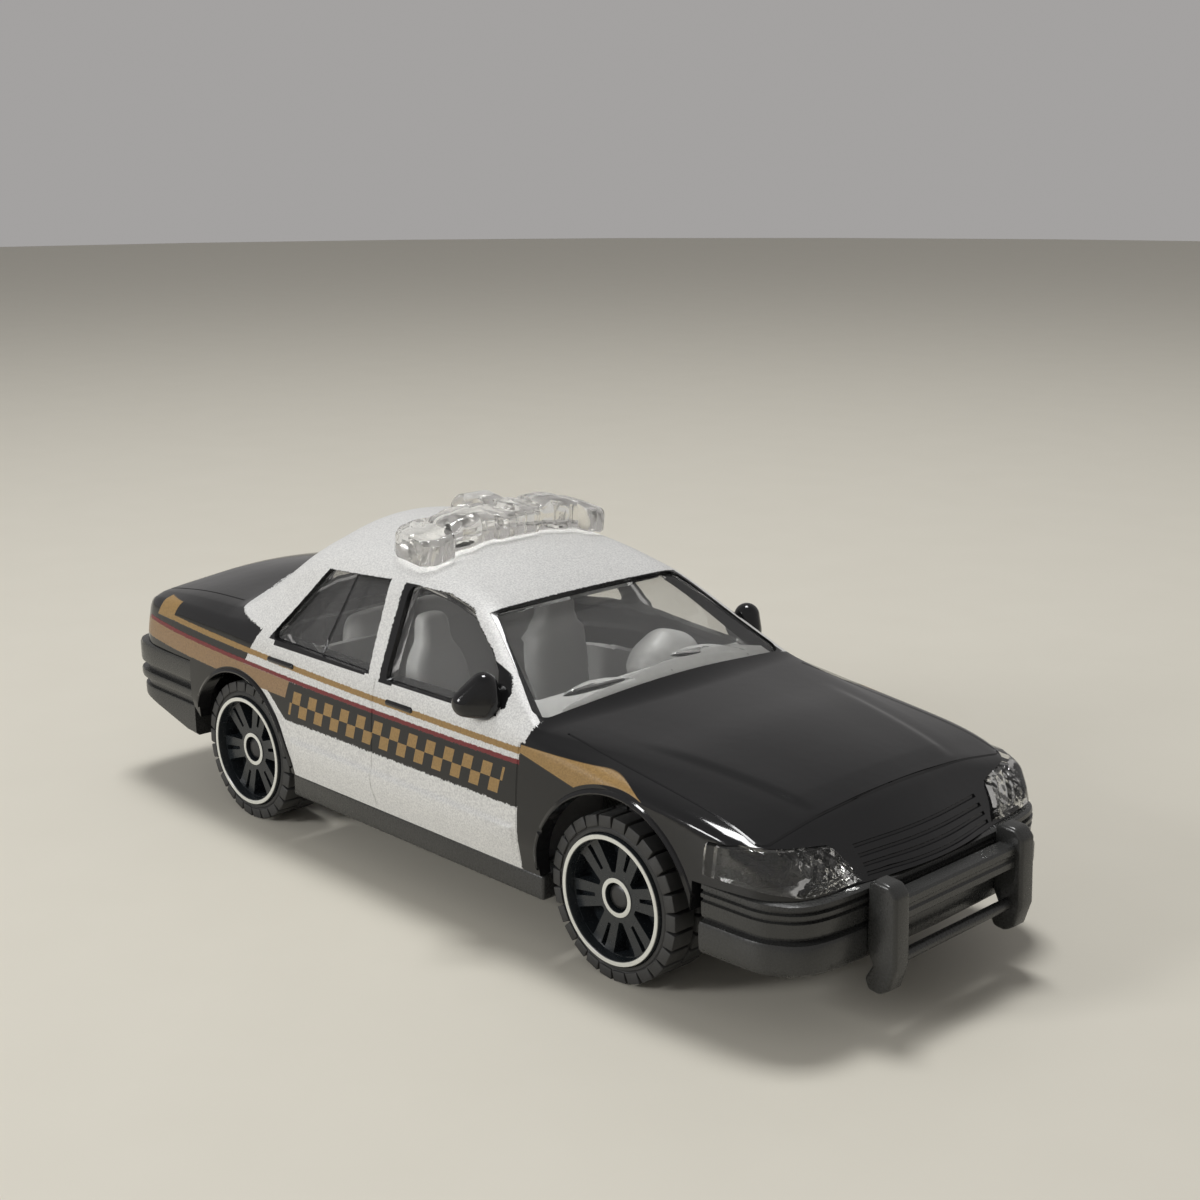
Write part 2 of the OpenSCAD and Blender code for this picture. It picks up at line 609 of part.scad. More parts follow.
module base_plate() {
    mid_front = fa - tyre_r - wheel_room - 0.3;
    mid_back = ra + tyre_r + wheel_room + 0.3;
    color("#26282b") difference() {
        union() {
            translate([rear_post_x - step_back, -floor_y, floor_h])
                cube([front_post_x - rear_post_x + step_back, 2 * floor_y, floor_t]);
            translate([rear_post_x - step_back, -floor_y, floor_h])
                cube([floor_t, 2 * floor_y, rear_low + rear_rise - floor_h]);
            translate([mid_back, -(hw - 0.7), floor_h]) cube([mid_front - mid_back, 2 * (hw - 0.7), floor_t]);
            for (s = [-1, 1]) translate([mid_back, s * (hw - 0.7 - sill_in / 2) - sill_in / 2, floor_h])
                cube([mid_front - mid_back, sill_in, skirt_h - seat_gap - floor_h]);
            for (x = [fa, ra]) translate([x - boss_half, -boss_y, floor_h])
                cube([2 * boss_half, 2 * boss_y, tyre_r + boss_half - floor_h]);
            for (x = [front_post_x, rear_post_x]) translate([x, 0, floor_h])
                cylinder(r = post_r + 1.2, h = floor_t + 1.5);
            front_bumper();
            rear_bumper();
            push_bar();
        }
        for (x = [fa, ra]) translate([x, hw, tyre_r]) rotate([90, 0, 0]) cylinder(r = bore_r, h = 2 * hw);
        for (x = [front_post_x, rear_post_x]) translate([x, 0, floor_h - 1]) {
            cylinder(r = post_r + seat_gap, h = 12);
            cylinder(r = peen_r + seat_gap, h = 1 + peen_h);
        }
        for (x = [fa, ra], s = [-1, 1]) translate([x, s * hw, tyre_r]) rotate([90, 0, 0])
            cylinder(r = tyre_r + wheel_room, h = 2 * (hw - boss_y), center = true);
    }
}

// Wheels, drawn with the axle along Z and heights counted from the car's middle
head_seat = wheel_face - 1.3;
head_t = 0.4;
hub_r = head_r + 0.45;
bore_r = axle_r + axle_play;
hub_face = wheel_face - 0.68;
// Angle of the first spoke from the horizontal
spoke_turn = 11;

module axle() {
    half = head_seat + seat_gap;
    cylinder(r = axle_r, h = 2 * half, center = true);
    for (s = [0, 1]) mirror([0, 0, s]) translate([0, 0, half]) cylinder(r = head_r, h = head_t);
}

module rim() {
    lip = 0.4;
    barrel = 0.6;
    difference() {
        rotate_extrude($fn = 96) polygon([
            [bore_r, tyre_in + 0.1], [hub_r + 0.6, tyre_in + 0.1], [hub_r + 0.6, tyre_in + 1.7],
            [rim_r - barrel, tyre_in + 1.7], [rim_r - barrel, tyre_in + 0.2], [rim_r, tyre_in + 0.2],
            [rim_r, tyre_out], [rim_r - 0.05, wheel_face], [rim_r - lip, wheel_face],
            [rim_r - lip - 0.1, hub_face], [hub_r, hub_face - 0.1], [hub_r, hub_face],
            [head_r + 0.1, hub_face], [head_r + 0.1, head_seat], [bore_r, head_seat]
        ]);
        pitch = 360 / spokes;
        for (i = [0 : spokes - 1]) rotate(spoke_turn + i * pitch) {
            translate([hub_r + 0.8, -0.14, hub_face - 0.5]) cube([rim_r - lip - hub_r - 1.1, 0.28, 2]);
            rotate(pitch / 2) translate([0, 0, hub_face - 1.1]) linear_extrude(2) polygon([
                [hub_r + 0.35, -0.2], [rim_r - lip - 0.25, -1], [rim_r - lip - 0.1, 0],
                [rim_r - lip - 0.25, 1], [hub_r + 0.35, 0.2]
            ]);
        }
    }
}

// Outline of a row of tread blocks, whose edges reach r straight below a groove
function tread(r, share, turn) = [
    for (i = [0 : tread_blocks - 1], c = [[-0.5, 0], [-share / 2, 1], [share / 2, 1]])
        let (a = turn + (i + c.x) * 360 / tread_blocks, edge = r / cos((1 - share) * 180 / tread_blocks))
        (c.y > 0 ? edge : r - 1.4 * tread_depth) * [cos(a), sin(a)]
];

module tyre() {
    core = tyre_r - tread_depth;
    difference() {
        union() {
            rotate_extrude($fn = 96) polygon([
                [rim_r - 1, tyre_in], [core - 0.3, tyre_in], [core, tyre_in + 0.3],
                [core, tyre_out - 0.3], [core - 0.3, tyre_out], [rim_r - 1, tyre_out]
            ]);
            for (row = [0, 1]) translate([0, 0, tyre_in + 0.25 + row * (tyre_w / 2 + 0.05)])
                linear_extrude(tyre_w / 2 - 0.3) polygon(tread(tyre_r, 0.68, -90 + row * 180 / tread_blocks));
        }
        translate([0, 0, tyre_in - 1]) cylinder(r = rim_r + seat_gap, h = tyre_w + 2);
    }
}

// Puts a wheel piece on its axle; the side is 1 for the car's left and -1 for its right
module at_wheel(x, side) {
    translate([x, 0, tyre_r]) rotate([-90 * side, 0, 0]) children();
}

rim_colour = "#2a2f38";
tyre_colour = "#1b1b1c";
steel = "#8f9296";

module front_axle() { color(steel) at_wheel(fa, 1) axle(); }
module rear_axle() { color(steel) at_wheel(ra, 1) axle(); }
module front_right_rim() { color(rim_colour) at_wheel(fa, -1) rim(); }
module front_right_tyre() { color(tyre_colour) at_wheel(fa, -1) tyre(); }
module front_left_rim() { color(rim_colour) at_wheel(fa, 1) rim(); }
module front_left_tyre() { color(tyre_colour) at_wheel(fa, 1) tyre(); }
module rear_right_rim() { color(rim_colour) at_wheel(ra, -1) rim(); }
module rear_right_tyre() { color(tyre_colour) at_wheel(ra, -1) tyre(); }
module rear_left_rim() { color(rim_colour) at_wheel(ra, 1) rim(); }
module rear_left_tyre() { color(tyre_colour) at_wheel(ra, 1) tyre(); }

body_casting();
window_glazing();
light_bar();
headlight_insert();
interior_tub();
base_plate();
front_axle();
rear_axle();
front_right_rim();
front_right_tyre();
front_left_rim();
front_left_tyre();
rear_right_rim();
rear_right_tyre();
rear_left_rim();
rear_left_tyre();
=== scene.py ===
import json
import math

import bmesh
import bpy
from mathutils import Matrix, Vector
from mathutils.bvhtree import BVHTree


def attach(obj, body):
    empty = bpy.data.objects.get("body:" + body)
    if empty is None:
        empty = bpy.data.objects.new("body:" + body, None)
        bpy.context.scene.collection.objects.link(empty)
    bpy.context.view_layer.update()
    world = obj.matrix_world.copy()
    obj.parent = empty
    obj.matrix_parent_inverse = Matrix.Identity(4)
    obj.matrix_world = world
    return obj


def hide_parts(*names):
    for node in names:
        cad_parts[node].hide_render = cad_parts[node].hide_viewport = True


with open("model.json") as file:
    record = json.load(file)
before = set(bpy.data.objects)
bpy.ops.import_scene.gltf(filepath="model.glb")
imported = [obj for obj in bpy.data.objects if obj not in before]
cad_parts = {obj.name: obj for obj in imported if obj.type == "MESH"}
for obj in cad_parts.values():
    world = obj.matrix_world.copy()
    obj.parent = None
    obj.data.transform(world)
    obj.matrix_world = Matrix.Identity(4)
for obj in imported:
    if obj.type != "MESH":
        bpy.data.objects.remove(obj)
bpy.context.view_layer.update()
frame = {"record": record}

# Studio. The car stands on a pale matt table top in a grey room, under a soft lamp overhead
# and a weaker one to the left of the camera, which looks at the car's right front corner.
MM = 0.001
scene = bpy.context.scene
scene.view_settings.view_transform = "Standard"

view_target = Vector((6.087, 0, 20.715)) * MM
view_distance = 134.655 * MM
view_turn = math.radians(46.134)
view_height = math.radians(14.181)
view_roll = math.radians(-0.298)
view_back = Vector((math.sin(view_turn) * math.cos(view_height),
                    -math.cos(view_turn) * math.cos(view_height), math.sin(view_height)))
level = Vector((math.cos(view_turn), math.sin(view_turn), 0))
view_right = level * math.cos(view_roll) + view_back.cross(level) * math.sin(view_roll)
camera = bpy.data.objects.new("camera", bpy.data.cameras.new("camera"))
camera.data.lens = 54.77
camera.data.sensor_width = 36
camera.data.clip_start = 10 * MM
turned = Matrix((view_right, view_back.cross(view_right), view_back)).transposed().to_4x4()
camera.matrix_world = Matrix.Translation(view_target + view_back * view_distance) @ turned
scene.collection.objects.link(camera)
scene.camera = camera


def lamp(name, place, aim, size, watts):
    light = bpy.data.lights.new(name, "AREA")
    light.size = size * MM
    light.energy = watts
    shown = bpy.data.objects.new(name, light)
    shown.location = Vector(place) * MM
    shown.rotation_euler = (Vector(aim) - Vector(place)).to_track_quat("-Z", "Y").to_euler()
    scene.collection.objects.link(shown)


lamp("overhead_lamp", place=(-60, 60, 420), aim=(0, 0, 8), size=110, watts=1.0)
lamp("side_lamp", place=(-90, -300, 150), aim=(0, 0, 10), size=80, watts=0.42)


class Shade:
    """An output in a material's node tree. Sums and products of these add Math nodes."""

    def __init__(self, tree, socket=None):
        self.tree = tree
        self.socket = socket

    def node(self, kind, settings=None, sockets=None, output=0):
        made = self.tree.nodes.new("ShaderNode" + kind)
        for name, value in (settings or {}).items():
            if name == "stops":
                for spot, (place, colour) in zip(made.color_ramp.elements, value):
                    spot.position = place
                    spot.color = colour
            else:
                setattr(made, name, value)
        for name, value in (sockets or {}).items():
            if isinstance(value, Shade):
                self.tree.links.new(value.socket, made.inputs[name])
            else:
                made.inputs[name].default_value = value
        return Shade(self.tree, made.outputs[output] if made.outputs else None)

    def maths(self, operation, *values, clamp=False):
        return self.node("Math", {"operation": operation, "use_clamp": clamp}, dict(enumerate(values)))

    def __add__(self, other):
        return self.maths("ADD", self, other)

    def __sub__(self, other):
        return self.maths("SUBTRACT", self, other)

    def __rsub__(self, other):
        return self.maths("SUBTRACT", other, self)

    def __mul__(self, other):
        return self.maths("MULTIPLY", self, other)

    def __or__(self, other):
        return self.maths("MAXIMUM", self, other)

    def __abs__(self):
        return self.maths("ABSOLUTE", self)

    def past(self, limit, blur=0.05):
        """A mask that turns from 0 to 1 where the value goes past the limit."""
        return self.maths("ADD", (self - limit) * (1 / blur), 0.5, clamp=True)

    def between(self, low, high, blur=0.05):
        return self.past(low, blur) * (1 - self.past(high, blur))

    def blend(self, first, second):
        """The first colour where the mask is 0, the second where it is 1."""
        return self.node("Mix", {"data_type": "RGBA"}, {"Factor": self, 6: first, 7: second}, 2)

    def place(self):
        """Where a point lies, in millimetres, and its x, y and z."""
        metres = self.node("TexCoord", output="Object")
        where = self.node("VectorMath", {"operation": "SCALE"}, {0: metres, "Scale": 1 / MM})
        split = self.node("SeparateXYZ", {}, {0: where})
        return where, [Shade(self.tree, axis) for axis in split.socket.node.outputs]

    def grain(self, where, size, detail=2.0):
        """Soft noise from 0 to 1 whose blotches are about as wide as size."""
        return self.node("TexNoise", {}, {"Vector": where, "Scale": 1 / size, "Detail": detail})

    def bump(self, height, distance):
        return self.node("Bump", {}, {"Height": height, "Distance": distance * MM, "Strength": 1.0})


def finish(name, sockets, let_through=None):
    """A material with a Principled shader; let_through is the share of a lamp's light it passes on."""
    material = bpy.data.materials.new(name)
    material.use_nodes = True
    material.node_tree.nodes.clear()
    shade = Shade(material.node_tree)
    surface = shade.node("BsdfPrincipled", {}, sockets(shade))
    if let_through:
        through = shade.node("BsdfTransparent", {}, {"Color": (let_through, let_through, let_through, 1)})
        to_lamp = shade.node("LightPath", output="Is Shadow Ray")
        surface = shade.node("MixShader", {}, {0: to_lamp, 1: surface, 2: through})
    shade.node("OutputMaterial", {}, {"Surface": surface})
    return material


def table_paint(shade):
    where, _ = shade.place()
    stone = shade.grain(where, 9, 4)
    return {"Base Color": stone.blend((0.66, 0.63, 0.545, 1), (0.69, 0.66, 0.575, 1)), "Roughness": 0.55}


def rounded_off(piece, smooth=35):
    """Shades a piece smooth, apart from edges sharper than the smooth angle."""
    mesh = piece.data
    mesh.polygons.foreach_set("use_smooth", [True] * len(mesh.polygons))
    mesh.set_sharp_from_angle(angle=math.radians(smooth))


weld = 0.0001


def solid(points, faces):
    """A bare shape from points in millimetres."""
    mesh = bpy.data.meshes.new("shape")
    mesh.from_pydata([Vector(p) * MM for p in points], [], faces)
    shape = bmesh.new()
    shape.from_mesh(mesh)
    bmesh.ops.remove_doubles(shape, verts=shape.verts, dist=weld * MM)
    bmesh.ops.recalc_face_normals(shape, faces=shape.faces)
    shape.to_mesh(mesh)
    shape.free()
    made = bpy.data.objects.new("shape", mesh)
    scene.collection.objects.link(made)
    rounded_off(made)
    return made


def piece_of(name, materials, shape):
    """Makes a bare shape into a named piece with its materials."""
    shape.name = name
    shape.data.materials.clear()
    for material in materials:
        shape.data.materials.append(material)
    return shape


def circle(x, y, r, steps):
    turns = [2 * math.pi * i / steps for i in range(steps)]
    return [(x + r * math.cos(turn), y + r * math.sin(turn)) for turn in turns]


table_r = 900
table_sides = 48
table_edge = [(x, y, 0) for x, y in circle(0, 0, table_r, table_sides)]
table_face = solid(table_edge, [list(range(table_sides))])
table = piece_of("table_top", [finish("table_top", table_paint)], table_face)

world = bpy.data.worlds.new("room")
world.use_nodes = True
scene.world = world
world.node_tree.nodes.clear()
shade = Shade(world.node_tree)
up = shade.node("SeparateXYZ", {}, {0: shade.node("TexCoord", output="Generated")}, "Z")
ceiling = up.past(0.7, 0.5)
room = ceiling.blend((0.37, 0.36, 0.355, 1), (0.24, 0.236, 0.23, 1))
shade.node("OutputWorld", {}, {"Surface": shade.node("Background", {}, {"Color": room})})

# Body casting. One zinc die casting with the roof, pillars, bonnet, boot, doors and mirrors,
# enamelled gloss black, with the white cabin and doors and the gold and red lines printed on.
joints = frame["record"]["behaviour"]["joints"]
front_x = joints[0]["pos_m"][0] / MM
rear_x = joints[1]["pos_m"][0] / MM
axle_z = joints[0]["pos_m"][2] / MM
half_w = 14.4
nose_x = front_x + 15.9
tail_x = rear_x - 16.8
cowl_x = 14.4
header_x = 4.5
roof_back_x = -16.8
deck_x = -24.2
roof_h = 24.5
header_h = 21.75
belt_h = 15.4
cowl_h = 15.85
bonnet_h = 13.3
deck_h = 17.8
skirt_h = 5.5
bumper_top = 9.5
rear_bumper_top = 11.9
wall = 1.1

# Feature lines from nose to tail. Each row says how far a point lies along from its station,
# in from the body's side and up from a level
stations = [nose_x] * 4 + [front_x, cowl_x, header_x, 0, 0, roof_back_x, deck_x] + [tail_x] * 4
skirt_level = [skirt_h] * 15
waist_level = [bonnet_h] * 4 + [belt_h] * 11
shoulder_level = [bonnet_h] * 4 + [belt_h] * 6 + [deck_h] * 5
roof_level = [bonnet_h] * 4 + [cowl_h] * 2 + [header_h] + [roof_h] * 3 + [deck_h] * 5


def feature_line(levels, rows):
    return [Vector((x + along, half_w - inset, level + up))
            for x, level, (along, inset, up) in zip(stations, levels, rows)]


sill_line = feature_line(skirt_level, [
    (-0.8, 5.5, 0.5), (-1.6, 2.8, 0.4), (-3.5, 1.2, 0.3), (-7.6, 0.5, 0.2), (2.9, 0.5, 0.1),
    (-1.4, 0.5, 0), (0.5, 0.5, 0), (-1, 0.5, 0), (-8, 0.5, 0), (2.3, 0.5, 0),
    (2, 0.5, 0.3), (7.9, 0.7, 2.1), (2.5, 1.2, 3.1), (0.8, 1.8, 3.3), (0, 2.8, 3.5)])
ridge_line = feature_line(skirt_level, [
    (-0.6, 5.2, 1.7), (-1.3, 2.4, 2.1), (-3.2, 0.8, 2.5), (-7.4, 0.2, 2.6), (2.9, 0.05, 2.6),
    (-1.4, 0, 2.6), (0.5, 0, 2.6), (-1, 0, 2.6), (-8, 0, 2.6), (2.3, 0, 2.6),
    (2, 0.1, 2.7), (7.9, 0.3, 3.5), (2.5, 0.8, 4.5), (0.8, 1.5, 4.7), (0, 2.6, 4.9)])
waist_line = feature_line(waist_level, [
    (-0.6, 5.4, -4.5), (-1.3, 2.5, -3.9), (-3.1, 1, -2.9), (-7.2, 0.3, -2), (2.9, 0.15, -3.6),
    (-1.4, 0.1, -3.4), (0.5, 0.1, -3.4), (-1, 0.1, -3.4), (-8, 0.1, -3.4), (2.3, 0.1, -3.4),
    (2, 0.15, -3.2), (7.9, 0.3, -3), (2.5, 0.8, -3), (0.8, 1.5, -3), (0, 2.6, -3.2)])
shoulder_line = feature_line(shoulder_level, [
    (-0.7, 5.6, -3.9), (-1.4, 3, -2.7), (-3, 1.5, -1.3), (-7, 0.65, -0.1), (2.9, 0.45, -1.5),
    (-1.4, 0.5, -0.5), (0.3, 0.5, -0.1), (-1, 0.5, 0), (-8, 0.5, 0.1), (2.3, 0.55, 0.3),
    (2, 0.65, -1.7), (7.9, 0.9, -1.6), (2.5, 1.4, -2), (0.8, 2, -2.5), (0, 3, -3.2)])
rail_line = feature_line(roof_level, [
    (-0.6, 7.4, -3.8), (-1.5, 6.9, -2.3), (-3.8, 6.8, -0.15), (-7.2, 6.1, 0.7), (2.9, 4.8, -1.05),
    (-1, 1.5, -0.25), (0.5, 4.3, -0.35), (-1, 4.5, -1.7), (-9, 4.5, -1.1), (0.6, 4.7, -2),
    (1.4, 2.8, -0.6), (7.9, 2.7, -0.8), (2.1, 3.1, -1.5), (0.6, 3.5, -2), (0, 4, -2.7)])
middle_line = feature_line(roof_level, [(along, half_w, up) for along, up in (
    (0, -3.7), (-1.3, -2.1), (-3.7, 0), (-7.2, 0.9), (2.9, -0.75), (0, 0), (0, 0), (-1, -1), (-9, 0),
    (0, -0.7), (0, -0.1), (7.9, -0.15), (1.9, -0.9), (0.5, -1.5), (0, -2.4))])
feature_lines = [sill_line, ridge_line, waist_line, shoulder_line, rail_line, middle_line]
# How far each station is rounded, and which way an inner skin lies along, in and down from each line
along_soft = [0, 0.8, 0.5, 0.9, 0.9, 0.2, 0.5, 0.9, 0.95, 0.6, 0.5, 0.9, 0.8, 0.8, 0]
along_in = [-1, -1, -0.6, 0, 0, -0.45, -0.45, 0, 0, 0.5, 0.5, 0, 0.6, 1, 1]
ways_in = [(1, 1), (1, 0), (1, 0), (1, 0.4), (0.8, 0.8), (0, 1)]


def flip(points, side):
    """Points as they are for side 1, or their mirror image on the other side for side -1."""
    return [Vector((p.x, p.y * side, p.z)) for p in map(Vector, points)]


def soft_line(points, soft, steps):
    """A line through points whose corners are rounded by soft, with some steps at each corner."""
    points = [Vector(p) for p in points]
    line = [points[0]]
    for i in range(1, len(points) - 1):
        count = steps[i] if isinstance(steps, list) else steps
        start = points[i].lerp(points[i - 1], soft[i] / 2)
        end = points[i].lerp(points[i + 1], soft[i] / 2)
        for k in range(count + 1):
            t = k / count
            line.append(start * (1 - t) ** 2 + points[i] * (2 * t * (1 - t)) + end * t * t)
    return line + [points[-1]]


def there_and_back(values):
    return values + values[-2::-1]


def sections(depth, first, last, lowest, along, across, rail_soft=0.5):
    """Cross-sections of the body, drawn in by depth, between two stations and above one line."""
    lines = []
    for line, (inward, down) in zip(feature_lines, ways_in):
        drawn = [p + depth * Vector((way, -inward, -down)) for p, way in zip(line, along_in)]
        lines.append(soft_line(drawn[first:last + 1], along_soft[first:last + 1], along))
    soft = there_and_back([0, 0.5, 0.9, 0.6, rail_soft, 0.96][lowest:])
    steps = there_and_back(across[lowest:])
    rings = []
    for places in zip(*lines):
        half = list(places[lowest:5])
        crown = places[5] * 2 - places[4]
        crown.y = 0
        rings.append(soft_line(half + [crown] + flip(half[::-1], -1), soft, steps))
    return rings


def skin(rings):
    """A closed shape skinned over closed sections."""
    n = len(rings[0])
    m = len(rings)
    points = [p for ring in rings for p in ring]
    faces = [(j * n + i, j * n + (i + 1) % n, (j + 1) * n + (i + 1) % n, (j + 1) * n + i)
             for j in range(m - 1) for i in range(n)]
    faces += [tuple(range(n))[::-1], tuple(range((m - 1) * n, m * n))]
    return solid(points, faces)


def settle(piece, smooth=35):
    """Puts a piece's modifiers into its mesh."""
    shape = piece.evaluated_get(bpy.context.evaluated_depsgraph_get())
    mesh = bpy.data.meshes.new_from_object(shape)
    piece.modifiers.clear()
    piece.data = mesh
    rounded_off(piece, smooth)


def combine(piece, operation, shapes, slot=0):
    """Cuts shapes out of a piece, joins them on or keeps what they share, in one of its materials."""
    for shape in shapes:
        shape.data.materials.clear()
        for material in piece.data.materials:
            shape.data.materials.append(material)
        shape.data.polygons.foreach_set("material_index", [slot] * len(shape.data.polygons))
        step = piece.modifiers.new(operation, "BOOLEAN")
        step.operation = operation
        step.solver = "MANIFOLD"
        step.object = shape
    settle(piece)
    for shape in shapes:
        bpy.data.objects.remove(shape)


def rectangle(x0, y0, x1, y1):
    return [(x0, y0), (x1, y0), (x1, y1), (x0, y1)]


def rounded(corners, r, steps=5):
    """A convex outline, drawn anticlockwise, grown by r with round corners."""
    outline = []
    for i, corner in enumerate(corners):
        before = Vector(corner) - Vector(corners[i - 1])
        after = Vector(corners[(i + 1) % len(corners)]) - Vector(corner)
        start = math.atan2(-before.x, before.y)
        sweep = (math.atan2(-after.x, after.y) - start) % (2 * math.pi)
        for k in range(steps + 1):
            angle = start + sweep * k / steps
            outline.append((corner[0] + r * math.cos(angle), corner[1] + r * math.sin(angle)))
    return outline


def plan_lay(u, v, h):
    return u, v, h


def side_lay(u, v, h):
    return u, h, v


def front_lay(u, v, h):
    return h, u, v


def prism(outline, low, high, lay=plan_lay):
    """An outline carried from low to high; lay turns (u, v, height) into a place on the car."""
    return skin([[lay(u, v, h) for u, v in outline] for h in (low, high)])


def hull(balls, fine=24):
    """The tight skin round some balls, each a centre and a radius."""
    shape = bmesh.new()
    for centre, r in balls:
        for j in range(fine // 2 + 1):
            tilt = math.pi * j / (fine // 2)
            for x, y in circle(0, 0, math.sin(tilt), fine if 0 < j < fine // 2 else 1):
                shape.verts.new(Vector(centre) + Vector((x, y, math.cos(tilt))) * r)
    bmesh.ops.convex_hull(shape, input=list(shape.verts))
    bmesh.ops.delete(shape, geom=[v for v in shape.verts if not v.link_faces], context="VERTS")
    shape.verts.index_update()
    points = [v.co.copy() for v in shape.verts]
    faces = [[v.index for v in face.verts] for face in shape.faces]
    shape.free()
    return solid(points, faces)


def tube(path, r, sides=8):
    """A round bar along a path; r may be one radius or one for each point."""
    path = [Vector(p) for p in path]
    radii = r if isinstance(r, list) else [r] * len(path)
    rings = []
    for j, p in enumerate(path):
        way = (path[min(j + 1, len(path) - 1)] - path[max(j - 1, 0)]).normalized()
        across = way.cross(Vector((0, 0, 1)) if abs(way.z) < 0.9 else Vector((1, 0, 0))).normalized()
        rise = across.cross(way)
        rings.append([p + across * u + rise * v for u, v in circle(0, 0, radii[j], sides)])
    return skin(rings)


def smooth_step(t):
    t = min(1, max(0, t))
    return t * t * (3 - 2 * t)


# The bonnet's middle panel is pressed up a little, and so is a strip along the doors
panel_rise, panel_slope = 0.13, 0.85
panel_back, panel_run, panel_front = 19.0, 5, 32.6
panel_half, panel_half_x, panel_taper = 9.7, 21.4, 0.18
panel_lowest = 11
strip_rise, strip_low, strip_high, strip_slope = 0.24, 6.8, 8.9, 0.5
strip_back, strip_front, strip_end = -14, 12.6, 0.4


def pressed(p):
    half = panel_half - (p.x - panel_half_x) * panel_taper
    panel = smooth_step((half - abs(p.y)) / panel_slope) * smooth_step((panel_front - p.x) / panel_slope)
    panel *= smooth_step((p.x - panel_back) / panel_run) * (p.z > panel_lowest)
    strip = smooth_step((p.z - strip_low) / strip_slope) * smooth_step((strip_high - p.z) / strip_slope)
    strip *= smooth_step((strip_front - p.x) / strip_end) * smooth_step((p.x - strip_back) / strip_end)
    return p + Vector((0, math.copysign(strip_rise * strip, p.y), panel_rise * panel))


rear_window = [(-16.2, 16.45), (-4.9, 16.25), (-5.9, 21.55), (-12.8, 21.15)]
front_window = [(-1.8, 16.15), (8.9, 16.15), (7.9, 17.85), (6.6, 18.85), (3.2, 20.85), (0.6, 21.45),
                (-2.6, 21.55)]
window_r = 0.5
screen_low, screen_high = (13.3, 12.3, 16.05), (5.05, 9.3, 21.6)
back_low, back_high = (-22.5, 10.7, 18.7), (-17.4, 8.6, 23.2)
screen_r = 0.9
front_arch = (front_x + 0.7, axle_z + 0.2, 7.2)
rear_arch = (rear_x - 0.1, axle_z - 0.1, 6.7)
lamp_outline = [(7.3, 9.85), (11.9, 9.8), (14.9, 10.4), (14.9, 12.0), (13.2, 12.4), (8.3, 11.8)]
lamp_back_x = nose_x - 7.2
rear_face_x = tail_x + 9.5
bar_x = -4.7
peg_y = 4.6
peg_r = 0.9
seat_gap = 0.05

black = (0.009, 0.009, 0.0098, 1)
white = (0.76, 0.76, 0.74, 1)
gold = (0.35, 0.215, 0.075, 1)
tan = (0.31, 0.195, 0.10, 1)
red = (0.19, 0.018, 0.022, 1)


def slope_of(low, high):
    """The way up from one edge to another, how far it is, and the way square out of it."""
    climb = Vector((high[0] - low[0], 0, high[2] - low[2]))
    return climb.normalized(), climb.length, Vector((climb.z, 0, -climb.x)).normalized()


def outside(x, z, corners, r):
    """How far a point lies outside a convex outline grown by r, as a shade of x and z."""
    reach = None
    for i, corner in enumerate(corners):
        along = (Vector(corners[(i + 1) % len(corners)]) - Vector(corner)).normalized()
        out = x * along.y + (z * -along.x - (along.y * corner[0] - along.x * corner[1]))
        reach = out if reach is None else reach | out
    return reach - r


def outside_circle(x, z, arch, lip):
    """A mask of what lies further from an arch's middle than its radius and a lip."""
    dx = x - arch[0]
    dz = z - arch[1]
    return (dx * dx + dz * dz).past((arch[2] + lip) ** 2, 0.6)


